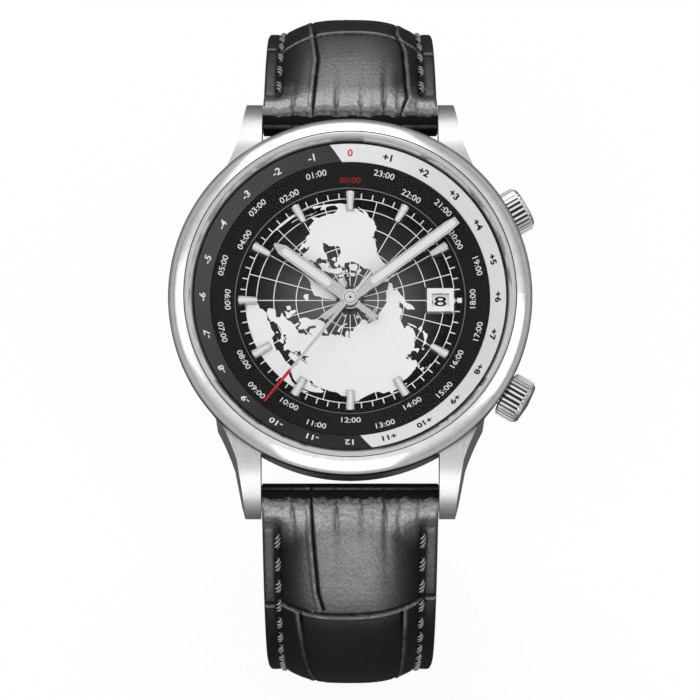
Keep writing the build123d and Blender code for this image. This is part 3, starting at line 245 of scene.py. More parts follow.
def tone(shade):
    """A shader's linear colour from 0 to 255 display values: one for a grey, or red, green and blue."""
    shades = shade if isinstance(shade, tuple) else (shade, shade, shade)
    parts = [shade / 255 for shade in shades]
    return (*(part / 12.92 if part <= 0.04045 else ((part + 0.055) / 1.055) ** 2.4 for part in parts), 1.0)


class Value:
    """A socket of a node tree; the usual operators add Math nodes to it."""

    def __init__(self, owner, socket):
        self.owner = owner
        self.socket = socket

    def maths(self, operation, *others):
        """A Math node whose inputs are this value and then the others."""
        return self.owner.node("ShaderNodeMath", dict(enumerate((self, *others))), operation=operation)

    def __rsub__(self, other):
        return self.owner.node("ShaderNodeMath", {0: other, 1: self}, operation="SUBTRACT")

    __add__ = __radd__ = partialmethod(maths, "ADD")
    __sub__ = partialmethod(maths, "SUBTRACT")
    __mul__ = __rmul__ = partialmethod(maths, "MULTIPLY")
    __truediv__ = partialmethod(maths, "DIVIDE")
    __mod__ = partialmethod(maths, "FLOORED_MODULO")
    __lt__ = partialmethod(maths, "LESS_THAN")
    __gt__ = partialmethod(maths, "GREATER_THAN")
    __and__ = partialmethod(maths, "MINIMUM")
    __or__ = partialmethod(maths, "MAXIMUM")
    __abs__ = partialmethod(maths, "ABSOLUTE")


def linear(colour):
    """A colour for a shader: a socket or a linear colour as it is, and display values as a linear colour."""
    ready = isinstance(colour, Value) or isinstance(colour, tuple) and len(colour) == 4
    return colour if ready else tone(colour)


class Nodes:
    """A node tree and short ways of adding nodes to it."""

    def __init__(self, tree):
        self.tree = tree

    def set(self, node, sockets):
        """Give a node's sockets their values or links."""
        for key, value in sockets.items():
            socket = node.inputs[key]
            if isinstance(value, Value):
                self.tree.links.new(value.socket, socket)
            else:
                socket.default_value = value

    def node(self, kind, sockets=None, output=0, **settings):
        """Any node: its settings are set first, then its sockets by name or place."""
        made = self.tree.nodes.new(kind)
        for key, value in settings.items():
            setattr(made, key, value)
        self.set(made, sockets or {})
        return Value(self, made.outputs[output])

    def place(self):
        """The point on the object, in metres, as one vector."""
        return self.node("ShaderNodeTexCoord", output="Object")

    def stretched(self, size):
        """The point times a size, or a size for each axis, as the vector of a pattern."""
        sizes = size if isinstance(size, tuple) else (size, size, size)
        return self.node("ShaderNodeVectorMath", {0: self.place(), 1: sizes}, operation="MULTIPLY")

    def axes(self):
        """The point's x, y and z in millimetres, and its distance from the watch's axis."""
        parts = self.node("ShaderNodeSeparateXYZ", {0: self.stretched(1 / metres)})
        x, y, z = (Value(self, output) for output in parts.socket.node.outputs)
        return x, y, z, (x * x + y * y).maths("SQRT")

    def vector(self, x, y, z):
        """A vector from three values."""
        return self.node("ShaderNodeCombineXYZ", {0: x, 1: y, 2: z})

    def noise(self, vector, detail=2.0):
        """A noise from 0 to 1 along a vector in pattern units."""
        return self.node("ShaderNodeTexNoise", {"Vector": vector, "Scale": 1.0, "Detail": detail})

    def grain(self, size, detail=2.0):
        """A noise from 0 to 1 over the object, by its waves per metre."""
        return self.noise(self.stretched(size), detail)

    def mark(self, name):
        """A value that a piece's points carry."""
        return self.node("ShaderNodeAttribute", output=2, attribute_name=name)

    def ray(self, kind):
        """1 for the rays of a kind and 0 for the others."""
        return self.node("ShaderNodeLightPath", output=f"Is {kind} Ray")

    def ramp(self, value, *stops):
        """A colour ramp of (position, display value) stops."""
        made = self.node("ShaderNodeValToRGB", {0: value})
        spots = made.socket.node.color_ramp.elements
        for place, (position, colour) in enumerate(stops):
            stop = spots[place] if place < len(spots) else spots.new(position)
            stop.position = position
            stop.color = linear(colour)
        return made

    def between(self, value, dark, light, low=0.3, high=0.7):
        """A ramp from a dark display value to a light one."""
        return self.ramp(value, (low, dark), (high, light))

    def blend(self, mask, first, second):
        """The first colour where the mask is 0 and the second where it is 1, as sockets or display values."""
        sockets = {0: mask, 6: linear(first), 7: linear(second)}
        return self.node("ShaderNodeMix", sockets, 2, data_type="RGBA")

    def mixed(self, share, first, second):
        """The first shader where the share is 0 and the second where it is 1."""
        return self.node("ShaderNodeMixShader", {0: share, 1: first, 2: second})

    def spread(self, value, low, high):
        """A value from 0 to 1 spread between low and high."""
        return value * (high - low) + low

    def ranged(self, value, low, high, first, last):
        """A value that goes from first to last while another goes from low to high, and stays at either."""
        sockets = {"Value": value, "From Min": low, "From Max": high, "To Min": first, "To Max": last}
        return self.node("ShaderNodeMapRange", sockets)


class Finish(Nodes):
    """A material whose nodes end in one principled shader, or in another surface."""

    def __init__(self, name, **sockets):
        self.material = bpy.data.materials.new(name)
        self.material.use_nodes = True
        super().__init__(self.material.node_tree)
        self.shader = self.tree.nodes["Principled BSDF"]
        self.give(**sockets)

    def give(self, **sockets):
        """Set sockets of the shader by name."""
        self.set(self.shader, {key.replace("_", " "): value for key, value in sockets.items()})
        return self

    def bump(self, height, depth, strength=0.5):
        """Raise the surface by a height of 0 to 1, depth millimetres at most."""
        sockets = {"Height": height, "Distance": depth * metres, "Strength": strength}
        return self.give(Normal=self.node("ShaderNodeBump", sockets))

    def surface(self, shader):
        """Another shader in the place of the principled one."""
        self.set(self.tree.nodes["Material Output"], {"Surface": shader})
        self.tree.nodes.remove(self.shader)
        return self


def grained(name, size, detail, dark, light, rough=None, relief=None, ends=(0.3, 0.7), **sockets):
    """A finish whose colour, and roughness and relief if given, follow one fine noise."""
    finish = Finish(name, **sockets)
    grain = finish.grain(size, detail)
    finish.give(Base_Color=finish.between(grain, dark, light, *ends))
    if rough:
        finish.give(Roughness=finish.spread(grain, *rough))
    if relief:
        finish.bump(grain, *relief)
    return finish


def printed(name, colour, roughness=0.45, **sockets):
    """Screen printed paint, a little uneven."""
    darker = tuple(part * 0.95 for part in tone(colour)[:3]) + (1.0,)
    return grained(name, 6000, 2.0, darker, colour, Roughness=roughness, Specular_IOR_Level=0.12, **sockets)


def hand_finish(name, dark, light):
    """Polished hands and markers: steel, a little softer than a mirror."""
    return grained(name, 2500, 2.0, dark, light, (0.14, 0.17), Metallic=1.0)


def worn_mirror(steel):
    """The faint wear of polished steel: hairlines a little longer from 12 to 6 o'clock."""
    return steel.grain((700, 900, 800), 4.0)


def brushed_steel():
    """Steel brushed from 12 to 6 o'clock: long fine scratches that change its sheen."""
    steel = Finish("brushed_steel", Metallic=1.0)
    lines = steel.grain((9000, 160, 9000), 3.0)
    clouds = steel.grain((300, 120, 300))
    shade = lines * 0.7 + clouds * 0.3
    steel.give(Base_Color=steel.between(shade, (176, 177, 179), (212, 212, 213)),
               Roughness=steel.spread(lines, 0.26, 0.4))
    return steel.bump(lines, 0.004)


def bezel_finish():
    """Mirror steel outside, with a dark seam line and a thin rim of painted shade at the outer edge; satin
    steps where the crystal is seated, darkened by painted shadow towards the inner wall.
    """
    steel = Finish("bezel_finish", Metallic=1.0)
    radius = steel.axes()[3]
    wear = worn_mirror(steel)
    # seam: the dark seam line, and the thin rim of painted shade at the outer edge
    seam = ((abs(radius - bezel_seam_radius) < bezel_seam_width / 2)
            | (radius > bezel_outer_radius - bezel_rim_shade_width))
    seat = radius < bezel_seam_radius
    bright = steel.between(wear, 222, 232, 0.35, 0.65)
    # painted shadow: the seat darkens towards the inner wall, where it meets the number ring
    seat_painted_shadow = steel.ramp((radius - bezel_inner_radius) * 1.7, (0.15, 26), (0.4, 110), (0.75, 228))
    return steel.give(Base_Color=steel.blend(seam, steel.blend(seat, bright, seat_painted_shadow), 44),
                      Roughness=steel.spread(wear, 0.18, 0.23) + seat * 0.2)


def crown_finish():
    """Mirror steel with painted shade in the grooves between the flutes, the same for both crowns."""
    steel = Finish("crown_finish", Metallic=1.0)
    x, y, z, _ = steel.axes()
    turn = math.radians(crown_turn)
    across = abs(y) * math.cos(turn) - x * math.sin(turn)
    along = abs(y) * math.sin(turn) + x * math.cos(turn)
    height = z - crown_height
    radius = (across * across + height * height).maths("SQRT")
    # groove: the grooves between the flutes, painted dark as shade
    groove = (radius < crown_groove_radius) * (along < crown_groove_end)
    wear = worn_mirror(steel)
    bright = steel.between(wear, 226, 236, 0.35, 0.65)
    return steel.give(Base_Color=steel.blend(groove, bright, 60), Roughness=steel.spread(wear, 0.1, 0.15))


def turned_steel(name, dark, light, low, high):
    """Steel turned on a lathe: fine circles round the watch's axis."""
    steel = Finish(name, Metallic=1.0)
    _, _, z, radius = steel.axes()
    circles = steel.noise(steel.vector(radius * 14, z * 14, 0.0), 3.0)
    steel.give(Base_Color=steel.between(circles, dark, light), Roughness=steel.spread(circles, low, high))
    return steel.bump(circles, 0.002, 0.4)


def clear_crystal():
    """Sapphire with a coating: clear, with a thin reflection that grows at a grazing view."""
    glass = Finish("clear_crystal")
    clear = glass.node("ShaderNodeBsdfTransparent")
    mirror = glass.node("ShaderNodeBsdfGlossy", {"Roughness": 0.02})
    grazing = glass.node("ShaderNodeFresnel", {"IOR": 1.3})
    smear = glass.spread(glass.grain(60), 0.15, 0.25)
    return glass.surface(glass.mixed(grazing * smear, clear, mirror))


def graticule(radius, angle):
    """1 on the map's meridians and parallels and 0 between them; the map's edge is its first parallel."""
    step = math.radians(map_step)
    across = abs((angle + step / 2) % step - step / 2) * radius
    lines = (across < map_line / 2) & (radius > map_radius * math.cos(math.radians(meridian_end)))
    globe = map_radius / math.cos(step)
    for latitude in range(map_step, 90, map_step):
        parallel = globe * math.cos(math.radians(latitude))
        lines = lines | (abs(radius - parallel) < map_line / 2)
    return lines


def dial_finish():
    """Sunray anthracite under the map with a painted sheen, its white lines, a plain black band for the
    minutes, and a grey painted highlight line at the ring's edge beyond it.
    """
    dial = Finish("dial_finish", Specular_IOR_Level=0.1)
    x, y, _, radius = dial.axes()
    angle = y.maths("ARCTAN2", x)
    rays = dial.noise(dial.vector(x / radius * 60, y / radius * 60, radius * 0.25), 4.0)
    side = abs(x / radius)
    # painted sheen: the sea is lighter towards the middle and towards the left and right, with the rays'
    # noise over it
    shade = (1 - radius / map_radius) * (side * 0.7 + 0.45) + rays * 0.12 - 0.05
    sea_rays_and_painted_sheen = dial.ramp(shade, (0.0, 9), (0.25, 44), (0.6, 84), (1.0, 104))
    lines = graticule(radius, angle)
    inside = radius < map_radius + map_line_overlap
    field = dial.blend(lines, sea_rays_and_painted_sheen, 236)
    band = dial.blend(inside, 7, field)
    # beyond the band, a grey painted highlight line where the ring's lit edge meets the dial
    return dial.give(Base_Color=dial.blend(radius > dial_band_end, band, 120),
                     Roughness=dial.spread(rays, 0.38, 0.44), Metallic=inside * (1 - lines) * 0.85)


def offset_ring_finish():
    """The fixed number ring: satin silver on the side ahead of the zero, black on the other, where a painted
    sheen lightens it towards the left and top.
    """
    ring = Finish("offset_ring_finish", Specular_IOR_Level=0.12)
    x, y, z, radius = ring.axes()
    clockwise = x.maths("ARCTAN2", y) * (180 / math.pi)
    depth = (radius - number_ring_inner) * (1 / (number_ring_outer - number_ring_inner))
    silver = ((clockwise > ring.spread(depth, silver_start_inner, silver_start_outer))
              & (clockwise < ring.spread(depth, silver_end_inner, silver_end_outer)))
    circles = ring.noise(ring.vector(radius * 16, z * 16, 0.0))
    # painted sheen: the black side is lighter towards the left and top, over the fine turned circles
    sheen = (x / radius) * -0.36 + (y / radius) * 0.14 + circles * 0.1 + 0.4
    dark = ring.ramp(sheen, (0.1, 24), (0.5, 38), (0.85, 74))
    return ring.give(Base_Color=ring.blend(silver, dark, ring.between(circles, 226, 236)),
                     Metallic=silver * 0.2, Roughness=ring.spread(circles, 0.42, 0.5))


def world_ring_finish():
    """Matt black lacquer with a thin grey painted highlight line at the dial's edge, and steel teeth below.
    """
    ring = Finish("world_ring_finish", Specular_IOR_Level=0.12)
    _, _, z, radius = ring.axes()
    grain = ring.grain(5000)
    # bright: the painted highlight line at the lip, and the steel teeth below
    bright = (radius < world_ring_lip_radius + lip_highlight_width) | (z < world_ring_teeth_top)
    return ring.give(Base_Color=ring.blend(bright, ring.between(grain, 11, 14), 120),
                     Metallic=bright * 1.0, Roughness=ring.spread(grain, 0.5, 0.54))


def seconds_finish():
    """The seconds hand: steel with a groove in its hub and the last third lacquered red."""
    steel = Finish("seconds_finish")
    x, y, _, radius = steel.axes()
    turn = math.radians(90 - seconds_hand_turn)
    red = x * math.cos(turn) + y * math.sin(turn) > red_tip_start
    bright = steel.between(steel.grain(2500), 206, 216)
    groove = (abs(radius - hub_groove_radius) < hub_groove_width / 2) | (radius < hub_pin_radius)
    return steel.give(Base_Color=steel.blend(red, steel.blend(groove, bright, 84), (190, 30, 48)),
                      Metallic=1 - red, Roughness=red * 0.2 + 0.12)


def plate_finish():
    """Rhodium plated bridges with straight Geneva stripes."""
    plate = Finish("plate_finish", Metallic=1.0)
    x, y, _, _ = plate.axes()
    stripe = (x * 0.866 + y * 0.5) % 1.6 / 1.6
    ridge = 1 - abs(stripe - 0.5) * 2
    shade = ridge * 0.8 + plate.grain(9000) * 0.2
    plate.give(Base_Color=plate.between(shade, 158, 206, 0.1, 0.9),
               Roughness=plate.spread(ridge, 0.34, 0.22))
    return plate.bump(ridge * ridge, 0.03, 0.6)


def rotor_finish():
    """The winding weight: turned circles, darker on the heavy rim."""
    alloy = Finish("rotor_finish", Metallic=1.0)
    radius = alloy.axes()[3]
    circles = alloy.noise(alloy.vector(radius * 12, 0.0, 0.0))
    web = alloy.between(circles, 172, 204)
    rim = alloy.between(circles, 120, 150)
    alloy.give(Base_Color=alloy.blend(radius > rotor_rim_start, web, rim),
               Roughness=alloy.spread(circles, 0.2, 0.36))
    return alloy.bump(circles, 0.004)


def strap_leather():
    """Black calf leather, embossed: greyer where its ridges show wear; its coat is a rubbed gloss laid as
    painted highlights at the lip, padding and ridges, and taken out as painted shade in pressed lines, folds
    and seams.
    """
    hide = Finish("strap_leather", Specular_IOR_Level=0.12, Coat_IOR=3.0, Coat_Roughness=0.36)
    pores = hide.node("ShaderNodeTexVoronoi", {"Vector": hide.place(), "Scale": 2600.0},
                      feature="DISTANCE_TO_EDGE")
    fine = hide.grain((6000, 9000, 7000), 3.0)
    clouds = hide.grain(420, 4.0)
    pebble = hide.between(pores, 0, 255, 0.0, 0.16)
    grain = hide.node("ShaderNodeRGBToBW", {0: pebble}) * 0.6 + fine * 0.4
    shade = clouds * 0.3 + grain * 0.2 + hide.mark("wear_and_painted_highlight") * 0.5
    hide.give(Base_Color=hide.ramp(shade, (0.15, 4), (0.42, 14), (0.8, 84)),
              Roughness=hide.spread(clouds * 0.6 + fine * 0.4, 0.4, 0.55),
              Coat_Weight=hide.mark("gloss_and_painted_light") * hide.spread(grain * 0.6 + clouds * 0.4, 0.3, 1.25))
    return hide.bump(grain, 0.06, 0.6)


def lining_leather():
    """Smooth black lining leather."""
    hide = Finish("lining_leather", Roughness=0.62)
    fine = hide.grain(5200, 4.0)
    shade = hide.grain(260) * 0.5 + fine * 0.5
    hide.give(Base_Color=hide.between(shade, (26, 25, 24), (40, 38, 37)))
    return hide.bump(fine, 0.02)


def waxed_thread():
    """Black waxed thread: a painted highlight lightens the crest of each strand."""
    thread = Finish("waxed_thread", Roughness=0.36)
    twist = thread.grain(9000)
    shade = thread.mark("wear_and_painted_highlight") * 0.75 + twist * 0.25
    thread.give(Base_Color=thread.ramp(shade, (0.3, 16), (0.6, 84), (0.9, 190)))
    return thread.bump(twist, 0.02)


def stage_white():
    """A white floor: lit diffuse white, with its own white added for the camera and less for mirrors."""
    white = Finish("floor_white")
    diffuse = white.node("ShaderNodeBsdfDiffuse", {"Color": tone(244)})
    glow = white.node("ShaderNodeEmission")
    seen = white.mixed(white.ray("Camera") * 0.8, diffuse, glow)
    reach = white.node("ShaderNodeVectorMath", {0: white.place()}, "Value", operation="LENGTH")
    shade = white.node("ShaderNodeEmission", {"Strength": white.ranged(reach, 0.1, 0.5, 0.08, 0.55)})
    return white.surface(white.mixed(white.ray("Glossy"), seen, shade))


# Meshes

def grid_quads(rows, columns, wrap_rows=False, wrap_columns=False):
    """The quads between neighbouring points of a grid that is stored row by row."""
    row, column = np.meshgrid(np.arange(rows if wrap_rows else rows - 1),
                              np.arange(columns if wrap_columns else columns - 1), indexing="ij")
    row, column = row.ravel(), column.ravel()
    below, beside = (row + 1) % rows, (column + 1) % columns
    return np.stack([row * columns + column, row * columns + beside,
                     below * columns + beside, below * columns + column], axis=1)


def capped_tube(rings):
    """A closed shell from an array of rings, ring by ring, with a flat cap at each end."""
    rows, columns, _ = rings.shape
    first = np.arange(columns)[None, :]
    return rings.reshape(-1, 3), [grid_quads(rows, columns, wrap_columns=True), first,
                                  first + (rows - 1) * columns]


def turned_shell(profile, centre, sides):
    """A closed ring of revolution about an upright axis, from (radius, height) points."""
    turn = circle(sides)
    radius, height = np.array(profile, float).T
    points = np.stack([centre[0] + radius[None, :] * np.cos(turn)[:, None],
                       centre[1] + radius[None, :] * np.sin(turn)[:, None],
                       np.broadcast_to(height, (sides, len(height)))], axis=-1)
    return points.reshape(-1, 3), [grid_quads(sides, len(height), True, True)]


def linked(name, data):
    """An object with its data, put into the scene."""
    made = bpy.data.objects.new(name, data)
    bpy.context.scene.collection.objects.link(made)
    return made


def make_piece(name, shells, body, finish, crease_angle=40.0, marks=None):
    """One piece from its shells, each its points in millimetres and its blocks of faces.

    marks holds named values for the points of the first shells, for the finish to read.
    """
    points, faces, count = [], [], 0
    for shell_points, blocks in shells:
        shell_points = np.asarray(shell_points, float).reshape(-1, 3)
        for block in blocks:
            faces.extend((np.asarray(block) + count).tolist())
        points.append(shell_points)
        count += len(shell_points)
    mesh = bpy.data.meshes.new(name)
    mesh.from_pydata(np.concatenate(points) * metres, [], faces)
    for mark, values in (marks or {}).items():
        shares = np.zeros(count)
        shares[:values.size] = values.ravel()
        mesh.attributes.new(mark, "FLOAT", "POINT").data.foreach_set("value", shares)
    work = bmesh.new()
    work.from_mesh(mesh)
    bmesh.ops.remove_doubles(work, verts=work.verts, dist=1e-8)
    bmesh.ops.recalc_face_normals(work, faces=work.faces)
    work.to_mesh(mesh)
    work.free()
    mesh.polygons.foreach_set("use_smooth", [True] * len(mesh.polygons))
    mesh.set_sharp_from_angle(angle=math.radians(crease_angle))
    mesh.materials.append(finish.material)
    piece = linked(name, mesh)
    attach(piece, body)
    return piece


def circle(sides):
    """Even angles once round."""
    return np.linspace(0, 2 * math.pi, sides, endpoint=False)


def polar(radius, clockwise):
    """The plan point at a radius and an angle clockwise from 12 o'clock."""
    angle = np.radians(90 - np.asarray(clockwise, float))
    return radius * np.cos(angle), radius * np.sin(angle)


def along_and_side(clockwise):
    """The unit vectors outwards at an angle from 12 o'clock and a quarter turn on."""
    return np.array(polar(1.0, clockwise)), np.array(polar(1.0, clockwise + 90))


def bar(clockwise, start, stop, start_width, stop_width):
    """The outline of a bar that points outwards, from its radii and its widths there."""
    along, side = along_and_side(clockwise)
    return [along * start - side * start_width / 2, along * start + side * start_width / 2,
            along * stop + side * stop_width / 2, along * stop - side * stop_width / 2]


def slab(outline, bottom, top):
    """A flat plate from its plan outline, an array of points."""
    outline = np.asarray(outline, float)
    rings = np.stack([np.column_stack([outline, np.full(len(outline), height)]) for height in (bottom, top)])
    return capped_tube(rings)


# Numbers, printed on the rings and the dial

@cache
def glyph_mesh(text, bold):
    """A text's outline in the font's units, as points and faces, with a thickness of 1."""
    curve = bpy.data.curves.new("numerals", "FONT")
    curve.body = text
    curve.align_x = "CENTER"
    curve.extrude = 0.5
    curve.offset = bold
    curve.resolution_u = 3
    source = linked("numerals", curve)
    mesh = bpy.data.meshes.new_from_object(source)
    points = np.zeros(len(mesh.vertices) * 3)
    mesh.vertices.foreach_get("co", points)
    faces = [list(polygon.vertices) for polygon in mesh.polygons]
    bpy.data.objects.remove(source)
    bpy.data.curves.remove(curve)
    bpy.data.meshes.remove(mesh)
    return points.reshape(-1, 3), faces


def glyphs(text, height, bold):
    """A text's outline as points and faces: centred on x, standing on y 0, print_height thick."""
    points, faces = glyph_mesh(text, bold)
    model = glyph_mesh("8", bold)[0][:, 1]
    scale = height / (model.max() - model.min())
    shaped = points * (scale, scale, print_height)
    shaped[:, 1] -= model.min() * scale
    return shaped, faces


def ring_number(text, height, clockwise, radius, ring, tops_out, bold, widen=1.0):
    """A number laid on a conical ring of (inner, inner top, outer, outer top), as a shell."""
    shape, faces = glyphs(text, height, bold)
    inner, inner_top, outer, outer_top = ring
    slope = (outer_top - inner_top) / (outer - inner)
    side = 1 if tops_out else -1
    reach = radius + side * (shape[:, 1] - height / 2) / math.hypot(1, slope)
    turn = clockwise + side * np.degrees(shape[:, 0] * widen / radius)
    x, y = polar(reach, turn)
    top = inner_top + (reach - inner) * slope
    return np.column_stack([x, y, top + shape[:, 2]]), [[face] for face in faces]


def offset_numbers():
    """The hour offsets on the fixed ring: black on the silver side, white on the black side."""
    cone = (number_ring_inner, number_ring_inner_top, number_ring_outer, number_ring_outer_top)
    middle = (number_ring_inner + number_ring_outer) / 2
    labels = ["0"] + [f"+{hour}" for hour in range(1, 12)]
    labels += ["12"] + [f"-{hour}" for hour in range(11, 0, -1)]
    shells = {"white": [], "black": [], "red": []}
    for place, label in enumerate(labels):
        colour = "red" if place == 0 else "black" if place < 12 else "white"
        shells[colour].append(ring_number(label, offset_numeral_height, place * 15, middle, cone, True,
                                          offset_bold[colour]))
    for colour, numbers in shells.items():
        make_piece(f"offset_numbers_{colour}", numbers, "case", prints[colour])


def world_numbers():
    """Plain 24 hour times on the turning ring, in two rows by turns; the one at zero is dark red."""
    cone = (world_ring_lip_radius, world_ring_lip_top, world_ring_outer, world_ring_outer_top)
    shells = []
    for place in range(24):
        label = f"{(24 - place) % 24:02d}:00"
        tops_out = not 5.5 <= place <= 18.5
        row = world_numeral_rows[place % 2]
        shells.append(ring_number(label, world_numeral_height, place * 15, row, cone, tops_out, world_bold,
                                  world_numeral_widening))
    make_piece("world_numbers", shells[1:], "world_ring", prints["white"])
    make_piece("world_number_zero", shells[:1], "world_ring", prints["dark_red"])


def minute_track():
    """Sixty white minute ticks at the map's edge."""
    shells = [slab(bar(minute * 6, map_radius, tick_outer, tick_width, tick_width),
                   dial_top, dial_top + print_height) for minute in range(60)]
    shells.append(slab(noon_mark, dial_top, dial_top + 2 * print_height))
    make_piece("minute_track", shells, "case", prints["white"])


def date_numbers():
    """The days 1 to 31 on the date ring, the shown one in the window."""
    shells = []
    for day in range(1, 32):
        shape, faces = glyphs(str(day), date_height, date_bold)
        turn = math.radians((day - date_shown) * 360 / 31)
        x = date_place + shape[:, 0] * date_widening[len(str(day))]
        y = shape[:, 1] - date_height / 2
        points = np.column_stack([x * math.cos(turn) - y * math.sin(turn),
                                  x * math.sin(turn) + y * math.cos(turn), date_ring_top + shape[:, 2]])
        shells.append((points, [[face] for face in faces]))
    make_piece("date_numbers", shells, "date_ring", prints["black"])


# The map: each land's outline as (longitude, latitude) points, in degrees

north_america = (
    (-168, 65.5), (-166, 68.5), (-156.5, 71.3), (-141, 69.6), (-135, 69), (-128, 70.2), (-124, 69.5),
    (-115, 68.3), (-108, 67.8), (-103, 68), (-97, 68.3), (-95, 71.6), (-92, 70.2), (-88, 68.4), (-85, 69.6),
    (-82, 69), (-82, 67), (-86.5, 66.3), (-88, 64.2), (-93.5, 62), (-94.5, 59), (-92.5, 57), (-85, 55.5),
    (-82.3, 53), (-80, 51.3), (-79, 54), (-77, 57), (-78, 60), (-77.5, 62.5), (-72, 61.5), (-69.5, 59),
    (-66, 58.8), (-64.5, 60.3), (-61.5, 57), (-57, 54.5), (-55.8, 52), (-60, 50.2), (-66.5, 50.2),
    (-69, 48.5), (-65, 49.2), (-65, 47), (-60, 46.5), (-61, 45.3), (-65.5, 43.6), (-67, 45), (-70.3, 43.5),
    (-70, 41.7), (-74, 40.6), (-76, 37), (-75.6, 35.2), (-81, 31.5), (-80.2, 26.5), (-80.6, 25.2),
    (-82.5, 28), (-84, 30), (-89.5, 30.2), (-90, 29.2), (-95, 29.2), (-97.4, 27), (-97.6, 23), (-96.2, 19),
    (-94, 18.2), (-91, 18.7), (-90.5, 21), (-87, 21.4), (-88, 18.5), (-88.7, 16), (-84, 15.8), (-83.3, 14.5),
    (-83.7, 11), (-82, 9), (-79.5, 9.5), (-77.6, 8.6), (-78.4, 7.4), (-80, 7.2), (-83, 8.2), (-85.7, 10.2),
    (-87.6, 12.9), (-91.5, 14),
    (-95, 16), (-100, 17.1), (-105.5, 20.2), (-105.5, 22.8), (-109, 26), (-112.5, 29.5), (-114.8, 31.6),
    (-113, 28.5), (-110.5, 24.3), (-109.6, 23), (-112.2, 25.2), (-115, 28), (-117, 32.5), (-120.6, 34.6),
    (-122.4, 37.5), (-124.3, 40.4), (-124, 46), (-124.6, 48.3), (-122.8, 49), (-127.5, 51), (-130.3, 54.5),
    (-134, 58), (-139.5, 59.8), (-146, 60.8), (-151.5, 59.3), (-151, 61.3), (-154, 59.3), (-158, 57.3),
    (-163.5, 54.8), (-160, 56.2), (-157.5, 58.7), (-162, 58.7), (-165.5, 61.5), (-164.5, 63), (-161, 64.5),
    (-166, 64.5))
old_world = (
    (25.7, 71.1), (31, 69.8), (41, 67.5), (40, 66.3), (33, 66.8), (34.5, 64.5), (38, 64), (40, 65), (44, 66),
    (44, 68.4), (46.5, 68), (53.5, 68.5), (60.5, 69.8), (66, 68.8), (68, 69), (66.8, 71.5), (69, 73),
    (73, 72), (72.5, 69), (74, 67.5), (74.5, 72.8), (80.5, 72.5), (81, 73.6), (87, 75), (98, 76.2),
    (104.3, 77.7), (112, 76.5), (113, 74), (106, 73.3), (119, 73), (127, 73), (129, 71), (140, 72.5),
    (150, 71.5), (160, 69.7), (170, 69.6), (178, 69.2), (185, 67.5), (190, 66.1), (187, 64.3), (178, 64.7),
    (179.5, 62.5), (170, 60), (163.2, 58), (162, 56), (159.5, 53), (156.7, 51), (155.7, 56), (161, 60),
    (164, 62.2), (157, 61.7), (154.5, 59.5), (143, 59.3), (137, 54), (141, 53), (140.3, 48.5), (135.5, 44),
    (132, 43.2), (129.7, 41), (127.5, 39.8), (129.4, 37), (129, 35.2), (126.4, 34.5), (126.7, 37.7),
    (125, 39.8), (121.5, 39), (122, 40.6), (118, 39), (119, 37.2), (122.5, 37), (119.5, 35), (121.8, 31.5),
    (121.5, 28.5), (118.5, 24.7), (114.2, 22.3), (110.4, 21.2), (108, 21.6), (105.8, 19), (109, 13),
    (107, 10.4), (104.8, 8.7), (103, 11), (100.5, 13.4), (99.2, 10), (100.5, 7), (103.5, 4), (104.2, 1.4),
    (101, 2.8), (98.5, 8), (97.7, 16), (94.4, 16), (92, 21.5), (88.5, 21.8), (85, 19.5), (82.2, 16.6),
    (80.2, 13.3), (79.8, 10.3), (77.6, 8.1), (76, 10.5), (73, 17), (72.6, 21), (70, 20.9), (69, 22.3),
    (67, 24.8), (61.6, 25.2), (57, 26.9), (54.5, 26.6), (51, 28.5), (48.5, 30.1), (50, 26.7), (51.5, 24.5),
    (54, 24.1), (56.3, 26.2), (59.8, 22.4), (57.7, 19), (52.2, 15.6), (45, 12.8), (43.3, 13), (42.6, 16.5),
    (39, 21.2), (36.5, 26), (34.9, 29.4), (34.3, 27.8), (32.5, 29.9), (35.5, 24), (37.3, 19.5), (39.7, 15),
    (43.2, 12), (44.5, 10.5), (51.2, 11.9), (49.5, 7), (46, 2.5), (43, 0), (34, 0), (25, 0), (17, 0),
    (9.5, 0), (9.5, 4), (4.5, 6.2), (-2, 4.8), (-7.6, 4.4), (-13.2, 8.5), (-16.8, 12.5), (-17.4, 14.7),
    (-16.2, 19), (-17, 21.2), (-14.5, 26.2), (-9.8, 29.8), (-9.3, 32.5), (-6, 35.8), (-2, 35.1), (3, 36.8),
    (10, 37.3), (11, 33.9), (15.5, 32.2), (20, 30.7), (20, 32.5), (23, 32.7), (29, 30.9), (32.3, 31.2),
    (34.5, 31.6), (36, 35), (36, 36.8), (30.5, 36.7), (27.3, 37), (26.3, 40.2), (29, 41.1), (35, 42),
    (41.5, 41.5), (37.5, 44.7), (39.3, 47.2), (35, 46), (33.5, 44.5), (31, 46.6), (28.5, 44), (28, 41.6),
    (26, 40.8), (23.8, 40.3), (22.7, 36.6), (19.5, 40), (19.5, 41.8), (13.7, 45.6), (12.4, 44.3), (16, 41.8),
    (18.4, 40), (16.9, 39), (15.8, 38), (14, 41), (10.3, 43.5), (7, 43.5), (3.2, 42.8), (0, 39.5),
    (-2, 36.8), (-6, 36.2), (-9, 37), (-9.4, 38.8), (-8.8, 43.2), (-1.7, 43.4), (-1.2, 46), (-4.6, 48.4),
    (1.6, 50.5), (4.5, 52.5), (8.5, 54), (8.2, 57), (10.5, 57.7), (10.8, 54.2), (14.2, 54), (19, 54.4),
    (21.2, 57), (24, 57.2), (23.5, 59.3), (29.8, 60), (22.8, 60), (21.3, 62.5), (25.3, 65), (22, 65.8),
    (17.5, 62), (18.8, 60), (16.5, 57), (14.2, 55.5), (12.8, 55.7), (11.2, 59.2), (7, 58), (5, 60.5),
    (6, 62.6), (10.5, 64.5), (14, 68), (19.5, 70))
